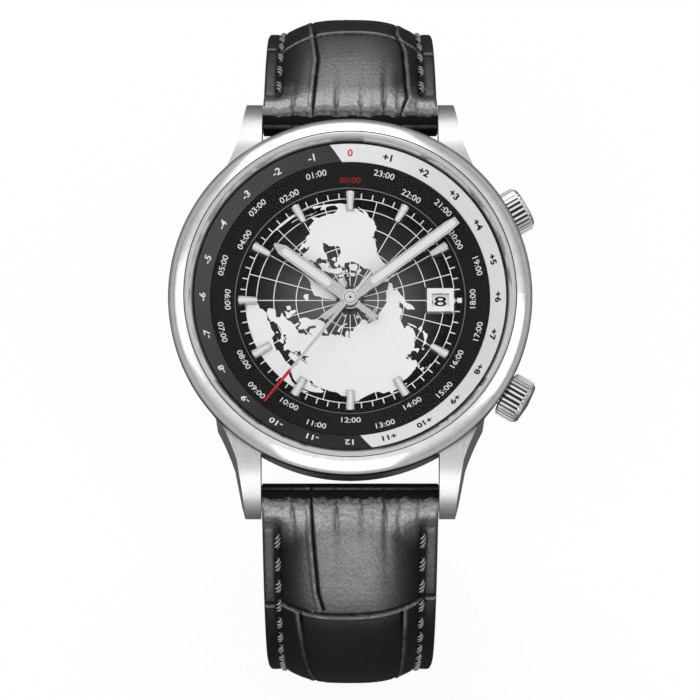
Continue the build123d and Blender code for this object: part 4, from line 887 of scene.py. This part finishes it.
islands = (
    ((-77.3, 8), (-75.5, 10.6), (-72, 12.2), (-71.5, 10.8), (-68, 11.2), (-62, 10.6), (-60, 8.5), (-57, 6),
     (-52, 4.5), (-50, 1), (-49, 0), (-56, 0), (-64, 0), (-72, 0), (-80, 0), (-78.5, 2), (-77.3, 4)),
    ((-73, 78.3), (-68, 76), (-60, 76), (-56, 73.5), (-54.5, 70.5), (-53.5, 67), (-51.5, 63.5), (-48, 61),
     (-43.5, 59.9), (-42.5, 62.5), (-40, 65), (-34, 66.5), (-25, 69), (-22, 70.5), (-22, 73), (-19.5, 75),
     (-18.5, 77.5), (-17, 80), (-12.5, 81.4), (-22, 82.3), (-33, 83.6), (-46, 82.8), (-60, 82), (-66, 80)),
    ((-65, 61.9), (-68, 62.6), (-73, 64.5), (-77.5, 64.5), (-73.5, 66.5), (-72.5, 68), (-77, 69.5),
     (-84, 70), (-89, 71), (-89.5, 73), (-85, 73.8), (-80.8, 73.6), (-76.5, 72.8), (-72, 71.4), (-68, 70.2),
     (-67, 69), (-62, 67), (-64, 65)),
    ((-77, 76.5), (-89, 76.5), (-87, 78.2), (-92, 80.5), (-86, 82), (-75, 83), (-62, 82.5), (-66, 80.8),
     (-75, 79), (-74.5, 78.2)),
    ((-80, 75.7), (-80.5, 74.7), (-91, 74.7), (-92, 76.2), (-88, 75.6)),
    ((-117, 70), (-115.5, 73.2), (-108, 73), (-105, 72), (-101.5, 69.8), (-105, 69), (-113.5, 68.9),
     (-116, 69.3)),
    ((-125, 72), (-123, 74.2), (-119, 74), (-116.5, 73), (-121, 71.5), (-123.5, 71.2)),
    ((-96.5, 72), (-99.5, 72.5), (-100.5, 73.5), (-97.5, 73.9)),
    ((-92, 72.7), (-90.5, 74), (-95, 74), (-95, 72.8)),
    ((-117, 75.5), (-113, 76.2), (-106, 75.8), (-106, 74.9), (-112, 74.5)),
    ((-102, 76.3), (-97.5, 76.2), (-98, 75.1), (-101, 75.4)),
    ((-94, 81.2), (-88, 80), (-88, 79), (-93, 78.6), (-96, 80)),
    ((-104, 79), (-100, 78), (-104, 77.8), (-106, 78.5)),
    ((-84, 66), (-80.5, 64), (-85.5, 63.3), (-87, 64)),
    ((-55.5, 51.5), (-53, 47), (-59.2, 47.7), (-57, 50.5)),
    ((-128.2, 50.7), (-123.6, 48.4), (-126, 49.3)),
    ((-84.8, 21.9), (-82, 23.1), (-77, 21.7), (-74.2, 20.2), (-77.5, 19.9), (-78.5, 21.3), (-82, 22.3)),
    ((-74.4, 18.4), (-73, 19.9), (-69.9, 19.7), (-68.4, 18.5), (-71, 18.2)),
    ((-24, 65.6), (-22.5, 66.4), (-16.5, 66.4), (-13.7, 65), (-18.5, 63.4), (-22.5, 63.9)),
    ((-5.6, 50.1), (1.3, 51.2), (1.7, 52.7), (-0.3, 54), (-2, 57), (-3.2, 58.6), (-5.5, 57.5), (-4.8, 54.6),
     (-3.2, 53.3), (-5, 51.8)),
    ((-10, 51.8), (-6.2, 52.3), (-5.9, 54.8), (-8.3, 55.2), (-9.8, 54)),
    ((52, 71), (57.5, 70.7), (56, 72.5), (61, 75), (69, 76.8), (66, 77), (57, 75.3), (53, 73)),
    ((14, 77), (11, 79.5), (18, 80), (25, 80), (21, 78.5), (17, 76.8)),
    ((48, 80.6), (60, 80.3), (59, 81.4), (50, 81.2)),
    ((95, 79), (104, 79), (101, 80.2), (96, 81)),
    ((138, 75.3), (148, 75), (143, 76)),
    ((142.2, 46.2), (143.5, 49.5), (143, 54), (141.8, 51.5)),
    ((140, 41.6), (141.5, 45.3), (145.3, 43.5), (143, 42)),
    ((131, 34.2), (136, 35.7), (140, 39.5), (141.2, 41.4), (142, 39.4), (140.8, 35.8), (138.5, 34.7),
     (135.7, 33.6), (132.2, 34)),
    ((130, 33.4), (131.8, 33), (131, 31.2), (130, 32)),
    ((121.5, 25.2), (120.2, 23), (120.9, 22)),
    ((120.5, 18.4), (122.2, 18.3), (121.6, 14.3), (124, 12.8), (120.6, 14), (119.9, 16)),
    ((122, 7), (125.5, 9.6), (126.5, 7.5), (125.3, 6)),
    ((95.3, 5.6), (100, 2.5), (103, 0), (99.5, 0), (97.5, 2.5)),
    ((109, 1.8), (113.5, 3.5), (117, 7), (119, 5), (117.8, 1), (117.5, 0), (109.2, 0)),
    ((8.4, 40.8), (9.6, 41), (9.5, 39.2), (8.5, 39)),
    ((12.5, 38), (15.5, 38.2), (15.1, 36.8)),
)


def map_point(longitude, latitude):
    """The polar orthographic map: the radius is the map's, times the cosine of the latitude."""
    turn = np.radians(np.asarray(longitude, float) + map_turn)
    reach = map_radius * np.cos(np.radians(np.asarray(latitude, float)))
    return reach * np.cos(turn), reach * np.sin(turn)


def coast(outline, seed):
    """A coast on the dial: its points, with small bays worked in between them by a seeded draw."""
    points = np.column_stack(map_point(*np.array(outline, float).T))
    draw = np.random.RandomState(seed)
    for _ in range(2):
        following = np.roll(points, -1, axis=0)
        side = np.column_stack([following[:, 1] - points[:, 1], points[:, 0] - following[:, 0]])
        length = np.hypot(*side.T)[:, None]
        limit = np.minimum(1, bay_spacing / np.maximum(length, 1e-6))
        limit = limit * np.clip((map_radius - np.hypot(*points.T)) / bay_fade, 0.1, 1)[:, None]
        bays = draw.uniform(-bay_depth, bay_depth, (len(points), 1))
        middle = (points + following) / 2 + side * limit * bays
        points = np.stack([points, middle], axis=1).reshape(-1, 2)
    reach = np.hypot(*points.T)[:, None]
    return points * np.minimum(1, map_radius / np.maximum(reach, 1e-6))


def filled_slab(outline, bottom, top):
    """A flat plate from any plan outline, filled with triangles, with a wall on each outer edge."""
    filled = delaunay_2d_cdt([Vector(point) for point in outline], [], [list(range(len(outline)))], 1, 1e-4)
    plan = np.array([list(point) for point in filled[0]])
    cells = np.array(filled[2])
    edges = np.concatenate([cells[:, [0, 1]], cells[:, [1, 2]], cells[:, [2, 0]]])
    known = set(map(tuple, edges.tolist()))
    rim = np.array([edge for edge in edges.tolist() if (edge[1], edge[0]) not in known])
    count = len(plan)
    walls = np.column_stack([rim, rim[:, ::-1] + count])
    points = np.concatenate([np.column_stack([plan, np.full(count, level)]) for level in (top, bottom)])
    return points, [cells, cells[:, ::-1] + count, walls]


def lands():
    """The printed lands of the northern half of the world round the pole."""
    shells = [filled_slab(coast(outline, seed), dial_top, dial_top + print_height)
              for seed, outline in enumerate((north_america, old_world) + islands)]
    make_piece("map_lands", shells, "case", prints["land"])


# Hands

def hand_strip(name, turn, shape, top, rise, body, finish):
    """A raised strip along a hand, with round ends, from below the hand's top to a rise above it."""
    start, stop, half_width, taper = shape
    along, side = along_and_side(turn)
    bend = np.linspace(0, math.pi, 9)
    far = [along * (stop + half_width * taper * (math.sin(b) - 1)) - side * half_width * taper * math.cos(b)
           for b in bend]
    near = [along * (start + half_width * (1 - math.sin(b))) + side * half_width * math.cos(b) for b in bend]
    make_piece(name, [slab(far + near, top + rise[0], top + rise[1])], body, finish)


def marker_strips():
    """Painted highlights on the flat tops of the eleven hour markers: white strips of the lume paint."""
    shells = [slab(bar(hour * 30, marker_start, marker_stop, marker_start_width, marker_stop_width),
                   marker_top - 0.03, marker_top + 0.02) for hour in range(12) if hour != 3]
    make_piece("marker_strips", shells, "case", lume)


def bearing_jewels():
    """The rings of synthetic ruby in the plate."""
    shells = []
    for centre, radius in jewels:
        profile = ((jewel_hole_radius, jewel_low), (radius - 0.08, jewel_low), (radius, jewel_low + 0.04),
                   (radius, jewel_top), (jewel_hole_radius, jewel_top))
        shells.append(turned_shell(profile, centre, 32))
    ruby = grained("ruby_finish", 3000, 2.0, (130, 10, 42), (182, 24, 66), Roughness=0.1, Coat_Weight=0.6)
    make_piece("bearing_jewels", shells, "case", ruby)


# Strap

Half = namedtuple("Half", "name arcs end total stop last_stitch tip")
shoulder_arc = (shoulder_arc_radius, shoulder_arc_radius * math.radians(90 - strap_slope))
flank_arc = (flank_radius, flank_radius * math.radians(flank_turn))
short_half = Half("short_strap", [shoulder_arc, (short_arc_radius, short_length - shoulder_arc[1])], 1,
                  short_length, short_body_end, short_last_stitch, False)
fall_arc = (fall_radius, long_strap_length - shoulder_arc[1] - flank_arc[1])
long_half = Half("long_strap", [shoulder_arc, flank_arc, fall_arc], -1, long_strap_length, long_strap_length,
                 long_strap_length - strap_tip_length, True)


def share(value, start, length):
    """0 before the start, 1 a length after it, and the share of the way between them."""
    return np.clip((value - start) / length, 0, 1)


def bell(value, width):
    """1 where the value is 0, falling off on both sides within about the width."""
    return np.exp(-(value / width) ** 2)


def strap_path(strap, distance):
    """Reach, height and slope at distances along a half: its arcs in turn, then straight on."""
    distance = np.asarray(distance, float)
    slope = np.full(distance.shape, math.radians(strap_slope))
    before = np.minimum(distance, 0)
    reach = spring_bar_reach + before * math.cos(math.radians(strap_slope))
    height = spring_bar_height - before * math.sin(math.radians(strap_slope))
    left = np.maximum(distance, 0)
    for radius, length in strap.arcs:
        run = np.minimum(left, length)
        turn = run / radius
        reach = reach + radius * (np.sin(slope + turn) - np.sin(slope))
        height = height - radius * (np.cos(slope) - np.cos(slope + turn))
        slope = slope + turn
        left = left - run
    return reach + left * np.cos(slope), height - left * np.sin(slope), slope


def on_strap(strap, along, across, rise):
    """Points on a half from distances along and across it and above its path."""
    reach, height, slope = strap_path(strap, along)
    across = np.broadcast_to(across, np.broadcast(along, across, rise).shape)
    return np.stack([across, strap.end * (reach + rise * np.sin(slope)) + 0 * across,
                     height + rise * np.cos(slope) + 0 * across], axis=-1)


def strap_half_width(strap, along):
    """Half the width: tapering from the lugs for two thirds of the half, then even, with a round tip."""
    taper = np.clip(along / (strap.total * 2 / 3), 0, 1)
    half = (strap_lug_width + (strap_buckle_width - strap_lug_width) * taper) / 2
    if strap.tip:
        inside = share(along, strap.total - strap_tip_length, strap_tip_length)
        half = half * (1 - 0.6 * inside ** 2.8)
    return half


def pressed_line(distance, depth):
    """A pressed line: a narrow dark valley with a round ridge on its positive side."""
    return depth * (0.62 * bell(distance - 0.36, 0.26) - 0.85 * bell(distance, 0.14))


def window(value, low, high, fade=0.8):
    """1 between low and high and 0 outside, with soft ends."""
    return 1 / (1 + np.exp(-(value - low) / (fade / 3))) / (1 + np.exp((value - high) / (fade / 3)))


def embossing(strap, along, across, half):
    """The pressed scales: two lengthwise lines that shift at each cross line, and notches in the borders."""
    total = strap.total
    inner = half - strap_border
    if strap.end > 0:
        left = np.interp(along, (-1, 2, 7, 12, 20, 32, 50), (-4.3, -4.1, -3.7, -4.1, -4.5, -3.6, -4.2))
        right = np.interp(along, (-1, 1, 4, 10, 14, 24, 40), (5.8, 6.5, 6.3, 6.0, 5.1, 5.6, 4.9))
        right_depth, first, lean = 0.3, 10.9, 0.03
    else:
        left = np.interp(along, (-1, 3, 9.7, 12, 12.6, 20, 30, 50),
                         (-4.4, -4.2, -3.6, -3.0, -5.7, -5, -3.9, -4.6))
        right = np.interp(along, (12, 20, 36, 60), (5.9, 5.8, 5.2, 5.6))
        right_depth, first, lean = 0.3 * window(along, 12.5, total, 1.0), 11.8, -0.03
    pressed = pressed_line(left - across, 0.3) + pressed_line(across - right, 1.0) * right_depth
    for row in range(int((total - first) / scale_pitch) + 1):
        place = first + row * scale_pitch + (5 if row else 0)
        bow = (1.6 if strap.end > 0 else 0.7) * (1 - (across / inner) ** 2)
        cross_line = pressed_line(along - place - bow - lean * across, 0.34)
        pressed += cross_line * window(np.abs(across), -1, inner + 0.2, 0.4)
        if row:
            middle = -2.1 + 1.3 * np.sin(row * 2.0)
            pressed += pressed_line(across - middle, 0.1) * window(along, place - 10, place - 1, 2.0)
        notch = along - place + 0.6 * np.sign(across)
        pressed += pressed_line(notch, 0.3) * window(np.abs(across), half - border_flat, half + 1, 0.2)
    return pressed * np.clip((total * 0.93 - along) / 6, 0.35, 1) * (1 - 0.55 * window(along, 15, total, 2.0))


def grain_relief(along, across):
    """Fine grain: even waves in many directions, 0.5 to 1 mm long, coarser near the lug."""
    picks = np.random.default_rng(7)
    relief = np.zeros(np.broadcast(along, across).shape)
    for _ in range(grain_waves):
        wave = 2 * math.pi / picks.uniform(0.5, 1.0)
        heading, phase = picks.uniform(0, 2 * math.pi, 2)
        relief += np.cos(wave * (along * math.cos(heading) + across * math.sin(heading)) + phase)
    return relief * (0.0011 + 0.0034 * np.exp(-np.maximum(along + 1, 0) / 3.5))


def wrinkles(along, across):
    """Short lengthwise folds where the leather turns over the spring bar."""
    folds = np.zeros(np.broadcast(along, across).shape)
    for place, depth, length in lug_folds:
        wide = 0.2 + 0.05 * np.maximum(along, 0)
        fold = bell(across - place - 0.05 * (along + 1), wide)
        folds = folds - depth * fold * np.exp(-np.maximum(along + 1, 0) / length)
    return folds


def strap_top(strap, along, across, half, detail=True):
    """The height of the upper leather over the path: nose, lip, border, padding and pressed scales."""
    width_share = np.minimum(1, half * 2 / strap_buckle_width)
    fade = np.clip((0.85 - along / strap.total) / 0.55, 0, 1)
    crown = (strap_crown_end + (strap_crown - strap_crown_end) * fade) * width_share
    shoulder = share(along, shoulder_start, shoulder_length)
    shoulder = shoulder * shoulder * (3 - 2 * shoulder)
    border = strap_upper + lip_rise * (1 - shoulder)
    crown = strap_upper + np.maximum(crown, border - strap_upper + 0.05)
    inner = half - strap_border * np.clip(0.35 + along / 5, 0.35, 1)
    ratio = np.clip(np.abs(across) / inner, 0, 1)
    top = border + (crown - border) * (1 - ratio ** 3.0) ** 1.1
    seam = np.abs(np.abs(across) - (half - seam_inset))
    top = top - seam_depth * bell(seam, seam_width) * shoulder
    if detail:
        flat = (ratio < 1) | (np.abs(across) > half - border_flat)
        top = top + embossing(strap, along, across, half) * flat
        top = top + wrinkles(along, across) + grain_relief(along, across)
    edge = share(np.abs(across), half - edge_round, edge_round)
    return top - edge_round * (1 - np.sqrt(1 - 0.98 * edge ** 2))


def strap_marks(strap, along, across, half):
    """Where the top's ridges show wear, and where its coat lies: painted highlights at the lip, padding,
    borders and ridges, taken out as painted shade in pressed lines, folds and seams.
    """
    pressed = embossing(strap, along, across, half)
    lip = 1.35 * window(along, -1.6, 2.4, 2.2)
    padding = np.exp(-(np.abs(across) / 5.5) ** 4) * (0.62 * window(along, -1, 12.6, 2.0) + 0.07)
    borders = 0.3 * window(np.abs(across), half - 1.35, half + 1, 0.3) * window(along, -1, 13, 6.0)
    seam = bell(np.abs(across) - (half - seam_inset), 0.5) * window(along, 2.5, strap.total, 1.0)
    # painted highlights at the lip and padding, and rubbed gloss on the borders
    gloss_and_painted_light = np.maximum(np.maximum(lip, padding), borders)
    # painted shade: the coat is taken out of the folds, the pressed lines and the seams' valleys
    fold_painted_shade = np.clip(-wrinkles(along, across) / 0.4, 0, 0.6)
    gloss_and_painted_light = gloss_and_painted_light * (1 - np.clip(-pressed / 0.12, 0, 1)) * (1 - fold_painted_shade)
    wear_and_painted_highlight = np.clip(pressed / 0.16, 0, 1)
    return {"wear_and_painted_highlight": wear_and_painted_highlight, "gloss_and_painted_light": np.maximum(gloss_and_painted_light, 0.45 * wear_and_painted_highlight) * (1 - seam)}


def strap_shell(strap, along, columns, half, low, top):
    """A closed band: at each station the top from left to right, a side wall, the base and a side wall."""
    place = np.linspace(-1, 1, columns)
    across = half[:, None] * place[None, :]
    side = half[:, None] * np.array(strap_wall_shares)[None, :]
    wall = np.hstack([low, low + strap_wall])
    stations = along[:, None]
    upper = on_strap(strap, stations, across, top)
    right = on_strap(strap, stations, side, wall)
    base = on_strap(strap, stations, across[:, ::-6], np.broadcast_to(low, across[:, ::-6].shape))
    left = on_strap(strap, stations, -side, wall)
    rings = np.concatenate([upper, right[:, ::-1], base[:, 1:-1], left], axis=1)
    return capped_tube(rings)


def closed_end(along, stop, reach):
    """The share of a leather's thickness that is left: 1, and a quarter round to 0 at its free end."""
    return np.sqrt(1 - share(along, stop - reach, reach + 0.01) ** 2)[:, None]


def strap_upper_shell(strap):
    """The upper leather: round nose about the spring bar, padded and pressed top, closed free end."""
    columns = 131
    stop = strap.stop
    along = np.concatenate([-nose_reach * np.cos(np.linspace(0.06, math.pi / 2, 26)),
                            np.arange(0.1, 30, 0.13), np.arange(30, stop - end_round, 0.42),
                            stop - end_round * (1 - np.sin(np.linspace(0, 1.5, 6)))])
    half = strap_half_width(strap, along)
    across = half[:, None] * np.linspace(-1, 1, columns)[None, :]
    stations = along[:, None]
    top = strap_top(strap, stations, across, half[:, None])
    nose = eye_rise + nose_height * np.sqrt(1 - np.clip(-stations / (nose_reach + nose_margin), 0, 1) ** 2)
    lip = lip_line + 0.12 * np.sin(across * 1.9 + strap.end) + 0.08 * np.sin(across * 4.7)
    lip = share(stations, lip, lip_length)
    lifted = nose + (np.maximum(top, nose) - nose) * np.sqrt(1 - (1 - lip) ** 2)
    lifted = lifted - 0.3 * np.clip((stations + 2.0) / 0.5, 0, 1) * (1 - lip)
    top = np.where(stations < 0, lifted, top)
    under = eye_rise - np.sqrt(np.maximum(eye_radius ** 2 - (along - eye_shift) ** 2, 0))
    low = np.where(along < eye_radius, np.minimum(under, 0.0), 0.0)[:, None]
    closing = closed_end(along, stop, end_round)
    middle = strap_upper / 2
    top = np.where(closing < 1, middle + (top - middle) * closing, top)
    low = np.where(closing < 1, middle + (low - middle) * closing, low)
    shell = strap_shell(strap, along, columns, half, low, top)
    beside = len(shell[0]) // len(along) - columns
    marks = strap_marks(strap, stations, across, half[:, None])
    return shell, {mark: np.pad(values, ((0, 0), (0, beside))) for mark, values in marks.items()}


def strap_fold(strap):
    """Painted shade round the spring bar: a thin dark curved sheet over the strap's nose."""
    bend = np.linspace(-0.5, math.radians(64), 24)
    outer, inner = (np.column_stack([-reach * np.cos(bend), eye_rise + rise * np.sin(bend)])
                    for reach, rise in (shade_sheet_outer, shade_sheet_inner))
    profile = np.concatenate([outer, inner[::-1]])
    edge = strap_lug_width / 2 + shade_sheet_margin
    rings = np.stack([on_strap(strap, profile[:, 0], np.full(len(profile), side * edge), profile[:, 1])
                      for side in (-1, 1)])
    return capped_tube(rings)


def strap_lining_shell(strap):
    """The lining: a smooth even band under the upper leather."""
    columns = 41
    stop = strap.stop
    along = np.concatenate([np.arange(lining_start, stop - lining_round, 0.5),
                            stop - lining_round * (1 - np.sin(np.linspace(0, 1.5, 5)))])
    half = strap_half_width(strap, along)
    closing = closed_end(along, stop, lining_round)
    low = -strap_lining / 2 - strap_lining / 2 * closing
    top = np.repeat(-strap_lining / 2 + (strap_lining / 2 - 0.01) * closing, columns, axis=1)
    return strap_shell(strap, along, columns, half, low, top)


def buckle_fingers():
    """The two leather fingers that fold round the buckle's bar, one each side of the tang."""
    along = np.concatenate([np.linspace(short_length - finger_length, short_length, 20),
                            short_length + finger_radius * np.sin(np.linspace(0.1, 1.5, 12))])
    nose = np.sqrt(1 - share(along, short_length, finger_radius + nose_margin) ** 2)
    swell = share(along, short_length - finger_bend, finger_bend)
    top = (strap_upper + 0.1 * swell) * nose
    low = -(strap_lining + 0.7 * swell) * nose
    shells = []
    for side in (-1, 1):
        place = np.linspace(0, 1, 25)
        edge = finger_round * (1 - np.sqrt(1 - np.clip(np.abs(place * 2 - 1) * 6.2 / 0.5 - 11.4, 0, 1) ** 2))
        across = side * (finger_start + finger_width * place)
        upper = on_strap(short_half, along[:, None], across[None, :], top[:, None] - edge[None, :])
        under = on_strap(short_half, along[:, None], across[None, ::-1], low[:, None] + edge[None, ::-1])
        shells.append(capped_tube(np.concatenate([upper, under], axis=1)))
    return shells


def stitches(strap):
    """Thread stitches in both seam valleys: bowed rods of three strands, and a painted highlight along each
    strand's crest.
    """
    centres = np.arange(stitch_start, strap.last_stitch, stitch_pitch)
    run = np.linspace(-1, 1, 29)
    turn = circle(14)
    shells = []
    strands = np.cos(thread_strands * turn[None, :] - strand_twist * run[:, None])
    for side in (-1, 1):
        for centre in centres:
            along = centre + stitch_half * run
            half = strap_half_width(strap, along)
            across = side * (half - seam_inset) - stitch_lean * run
            seat = strap_top(strap, along, across, half, False)
            thick = thread_radius * np.sqrt(1.02 - run ** 4)[:, None] * (1 + strand_depth * strands)
            rise = seat + stitch_lift - stitch_sink * run ** 4
            ring_across = across[:, None] + thick * np.cos(turn)[None, :]
            ring_rise = rise[:, None] + thick * np.sin(turn)[None, :]
            shells.append(capped_tube(on_strap(strap, along[:, None], ring_across, ring_rise)))
    # the mark that paints a highlight on the strands' crests
    return shells, {"wear_and_painted_highlight": np.tile((strands.ravel() + 1) / 2, len(shells))}


def keeper_shell(place):
    """A leather loop: a rounded band carried round a rectangle with round corners."""
    corner = keeper_corner
    turn = np.linspace(0, math.pi / 2, 9)
    path = []
    for quarter, (side, level) in enumerate(((1, keeper_high - corner), (-1, keeper_high - corner),
                                             (-1, keeper_low + corner), (1, keeper_low + corner))):
        angle = turn + quarter * math.pi / 2
        path.append(np.column_stack([side * (keeper_half - corner) + corner * np.cos(angle),
                                     level + corner * np.sin(angle), np.cos(angle), np.sin(angle)]))
    path = np.concatenate(path)
    around = circle(28)
    wide = keeper_half_width * np.sign(np.cos(around)) * np.abs(np.cos(around)) ** 0.35
    thick = keeper_half_thickness * np.sign(np.sin(around)) * np.abs(np.sin(around)) ** 0.6
    across = path[:, [0]] + path[:, [2]] * thick
    rise = path[:, [1]] + path[:, [3]] * thick
    reach, height, slope = strap_path(short_half, place)
    out, run = (math.sin(slope), math.cos(slope)), (math.cos(slope), -math.sin(slope))
    points = np.stack([across, reach + rise * out[0] + wide * run[0],
                       height + rise * out[1] + wide * run[1]], axis=-1)
    rows, columns, _ = points.shape
    return points.reshape(-1, 3), [grid_quads(rows, columns, True, True)]


def cut_holes(piece, finish, low, high):
    """Cut the row of tang holes through a leather of the long half."""
    shells = []
    turn = circle(24)
    for index in range(hole_count):
        place = long_strap_length - hole_from_tip - index * hole_pitch
        rings = [on_strap(long_half, place + hole_radius * np.sin(turn), hole_radius * np.cos(turn),
                          np.full(24, level)) for level in (low, high)]
        shells.append(capped_tube(np.stack(rings)))
    cutter = make_piece("hole_cutter", shells, "long_strap", finish)
    cut = piece.modifiers.new("holes", "BOOLEAN")
    cut.object = cutter
    cut.solver = "MANIFOLD"
    bpy.context.view_layer.update()
    graph = bpy.context.evaluated_depsgraph_get()
    mesh = bpy.data.meshes.new_from_object(piece.evaluated_get(graph))
    piece.modifiers.clear()
    piece.data = mesh
    mesh.set_sharp_from_angle(angle=math.radians(40))
    bpy.data.objects.remove(cutter)


# Finishes of the CAD pieces

prints = {
    "white": printed("white_print", 238),
    "black": printed("black_print", 16),
    "red": printed("red_print", (206, 34, 30)),
    "dark_red": printed("dark_red_print", (150, 28, 38)),
    "land": printed("land_print", (238, 239, 240)),
}
lume = printed("lume", 226, 0.4)
red_lacquer = printed("red_lacquer", (190, 30, 48), 0.3)
hand_steel = hand_finish("hand_finish", 188, 198)
hide = strap_leather()
hide_inside = lining_leather()
# a dark matt leather without coat for the sheet over the nose: painted shade
fold = grained("nose_shade_leather", 3200, 3.0, 8, 18, relief=(0.02, 0.5), Roughness=0.6,
               Specular_IOR_Level=0.12)
thread = waxed_thread()

for finish, names in (
        (brushed_steel(), ["mid_case"]),
        (bezel_finish(), ["bezel"]),
        (grained("polished_steel", (700, 900, 800), 4.0, 220, 230, (0.09, 0.15),
                 ends=(0.35, 0.65), Metallic=1.0),
         ["buckle_frame", "buckle_tang", "buckle_bar", "crown_tubes"]),
        (crown_finish(), ["ring_crown", "setting_crown"]),
        (clear_crystal(), ["crystal", "back_glass"]),
        (grained("seal_rubber", 9000, 3.0, 14, 24, relief=(0.01, 0.5), Roughness=0.6),
         ["back_gasket", "crown_gaskets"]),
        (printed("nylon", 196, 0.35), ["crystal_gasket"]),
        (turned_steel("back_steel", 178, 208, 0.2, 0.34), ["case_back", "spring_bars", "rotor_post"]),
        (offset_ring_finish(), ["offset_ring"]),
        (world_ring_finish(), ["world_ring"]),
        (dial_finish(), ["dial"]),
        (hand_steel, ["hour_markers", "hour_hand", "minute_hand"]),
        (hand_finish("frame_finish", 234, 240), ["date_frame"]),
        (seconds_finish(), ["seconds_hand"]),
        # the date disc glows faintly: painted light that brightens it in the shade under the dial
        (printed("date_disc_painted_glow", 250, 0.5, Emission_Color=tone(250), Emission_Strength=0.25),
         ["date_ring"]),
        (plate_finish(), ["main_plate", "barrel_bridge", "train_bridge", "balance_cock", "movement_ring",
                          "case_clamps"]),
        (grained("blued_steel", 4000, 2.0, (28, 44, 120), (52, 78, 168), (0.12, 0.22), Metallic=1.0),
         ["clamp_screws", "bridge_screws", "hairspring"]),
        (grained("brass_finish", 5000, 3.0, (198, 160, 86), (222, 186, 112), (0.2, 0.32),
                 (0.002, 0.4), Metallic=1.0),
         ["mainspring_barrel", "centre_wheel", "third_wheel", "fourth_wheel", "minute_wheel", "hour_wheel",
          "balance_wheel"]),
        (turned_steel("train_steel", 170, 200, 0.16, 0.3),
         ["escape_wheel", "pallet_fork", "cannon_pinion", "ring_stem", "ring_pinion", "setting_stem",
          "winding_pinion"]),
        (rotor_finish(), ["rotor"])):
    for name in names:
        for place in nodes[name].material_slots:
            place.material = finish.material

# Pieces that only the looks need

offset_numbers()
world_numbers()
minute_track()
date_numbers()
lands()
# painted highlights on the hour markers
marker_strips()
hand_strip("hour_hand_strip", hour_hand_turn, hour_strip, hour_hand_top, (-0.02, 0.06), "hours", lume)
hand_strip("minute_hand_strip", minute_hand_turn, minute_strip, minute_hand_top, (-0.02, 0.05), "minutes",
           lume)
for name, shape, finish in (("seconds_hand_red", red_strip, red_lacquer),
                            ("seconds_hand_blade", blade_strip, hand_steel)):
    hand_strip(name, seconds_hand_turn, shape, seconds_hand_top, (-0.1, 0.03), "seconds", finish)
bearing_jewels()

uppers, unders = [], []
for strap, extra in ((short_half, buckle_fingers()), (long_half, [])):
    shell, marks = strap_upper_shell(strap)
    uppers.append(make_piece(f"{strap.name}_leather", [shell] + extra, strap.name, hide, 50,
                             marks))
    unders.append(make_piece(f"{strap.name}_lining_leather", [strap_lining_shell(strap)], strap.name,
                             hide_inside, 50))
    # the dark sheet over the nose: painted shade
    make_piece(f"{strap.name}_fold", [strap_fold(strap)], strap.name, fold)
    shells, marks = stitches(strap)
    make_piece(f"{strap.name}_stitches", shells, strap.name, thread, 60, marks)
short_upper, long_upper = uppers
short_under, long_under = unders
cut_holes(long_upper, hide, -0.5, 4.5)
cut_holes(long_under, hide_inside, -1.5, 0.5)
for name, place, body in (("fixed", fixed_keeper_place, "short_strap"),
                          ("sliding", sliding_keeper_place, "sliding_keeper")):
    shell = keeper_shell(short_length - place)
    # keepers: an even coat of rubbed gloss
    make_piece(f"{name}_keeper_leather", [shell], body, hide, 50,
                            {"gloss_and_painted_light": np.full(len(shell[0]), 0.3)})
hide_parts("short_strap")
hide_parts("short_strap_lining")
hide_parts("long_strap")
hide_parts("long_strap_lining")
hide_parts("fixed_keeper")
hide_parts("sliding_keeper")

# Floor, lights and camera

def area_light(name, place, size, power):
    """A square lamp that looks at the middle of the part."""
    lamp = bpy.data.lights.new(name, "AREA")
    lamp.size = size * metres
    lamp.energy = power
    lit = linked(name, lamp)
    lit.location = np.array(place) * metres
    lit.rotation_euler = (-Vector(place)).to_track_quat("-Z", "Y").to_euler()


floor_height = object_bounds()[0].z / metres - floor_gap
floor_mesh = bpy.data.meshes.new("floor")
floor_mesh.from_pydata([(floor_radius * metres * math.cos(turn), floor_radius * metres * math.sin(turn),
                         floor_height * metres) for turn in circle(64)], [], [list(range(64))])
floor_mesh.materials.append(stage_white().material)
floor = linked("floor", floor_mesh)

world = bpy.data.worlds.new("studio")
bpy.context.scene.world = world
world.use_nodes = True
studio = Nodes(world.node_tree)
seen = studio.ray("Camera") | studio.ray("Transmission")
aimed = studio.node("ShaderNodeTexCoord", output="Generated")
upward = studio.node("ShaderNodeSeparateXYZ", {0: aimed}, "Z")
mirrored = studio.ranged(upward, -0.2, 0.8, 0.2, 0.95)
pick = studio.node("ShaderNodeMix", {"Factor": studio.ray("Glossy"), "A": 0.86, "B": mirrored})
level = studio.node("ShaderNodeMix", {"Factor": seen, "A": pick, "B": 1.0})
studio.set(world.node_tree.nodes["Background"], {"Strength": level, "Color": (1, 1, 1, 1)})

area_light("north_softbox", (-60, 450, 170), 420, 0.75)
area_light("south_softbox", (-40, -470, 180), 420, 0.75)
area_light("left_softbox", (-420, 40, 240), 300, 0.22)
area_light("right_softbox", (420, -60, 260), 300, 0.32)

tilt = math.radians(camera_elevation)
drop = (photo_centre - dial_centre_px[1]) / photo_scale / math.sin(tilt)
aim = Vector(((photo_centre - dial_centre_px[0]) / photo_scale, -drop, dial_plane_height))
camera_data = bpy.data.cameras.new("camera")
camera_data.sensor_width = sensor_width
camera_data.lens = sensor_width * camera_distance / (2 * photo_centre / photo_scale)
camera_data.clip_start = 0.01
camera = linked("camera", camera_data)
camera.location = (aim + camera_distance * Vector((0, -math.cos(tilt), math.sin(tilt)))) * metres
camera.rotation_euler = (math.pi / 2 - tilt, 0, 0)
bpy.context.scene.camera = camera
bpy.context.scene.view_settings.view_transform = "Standard"
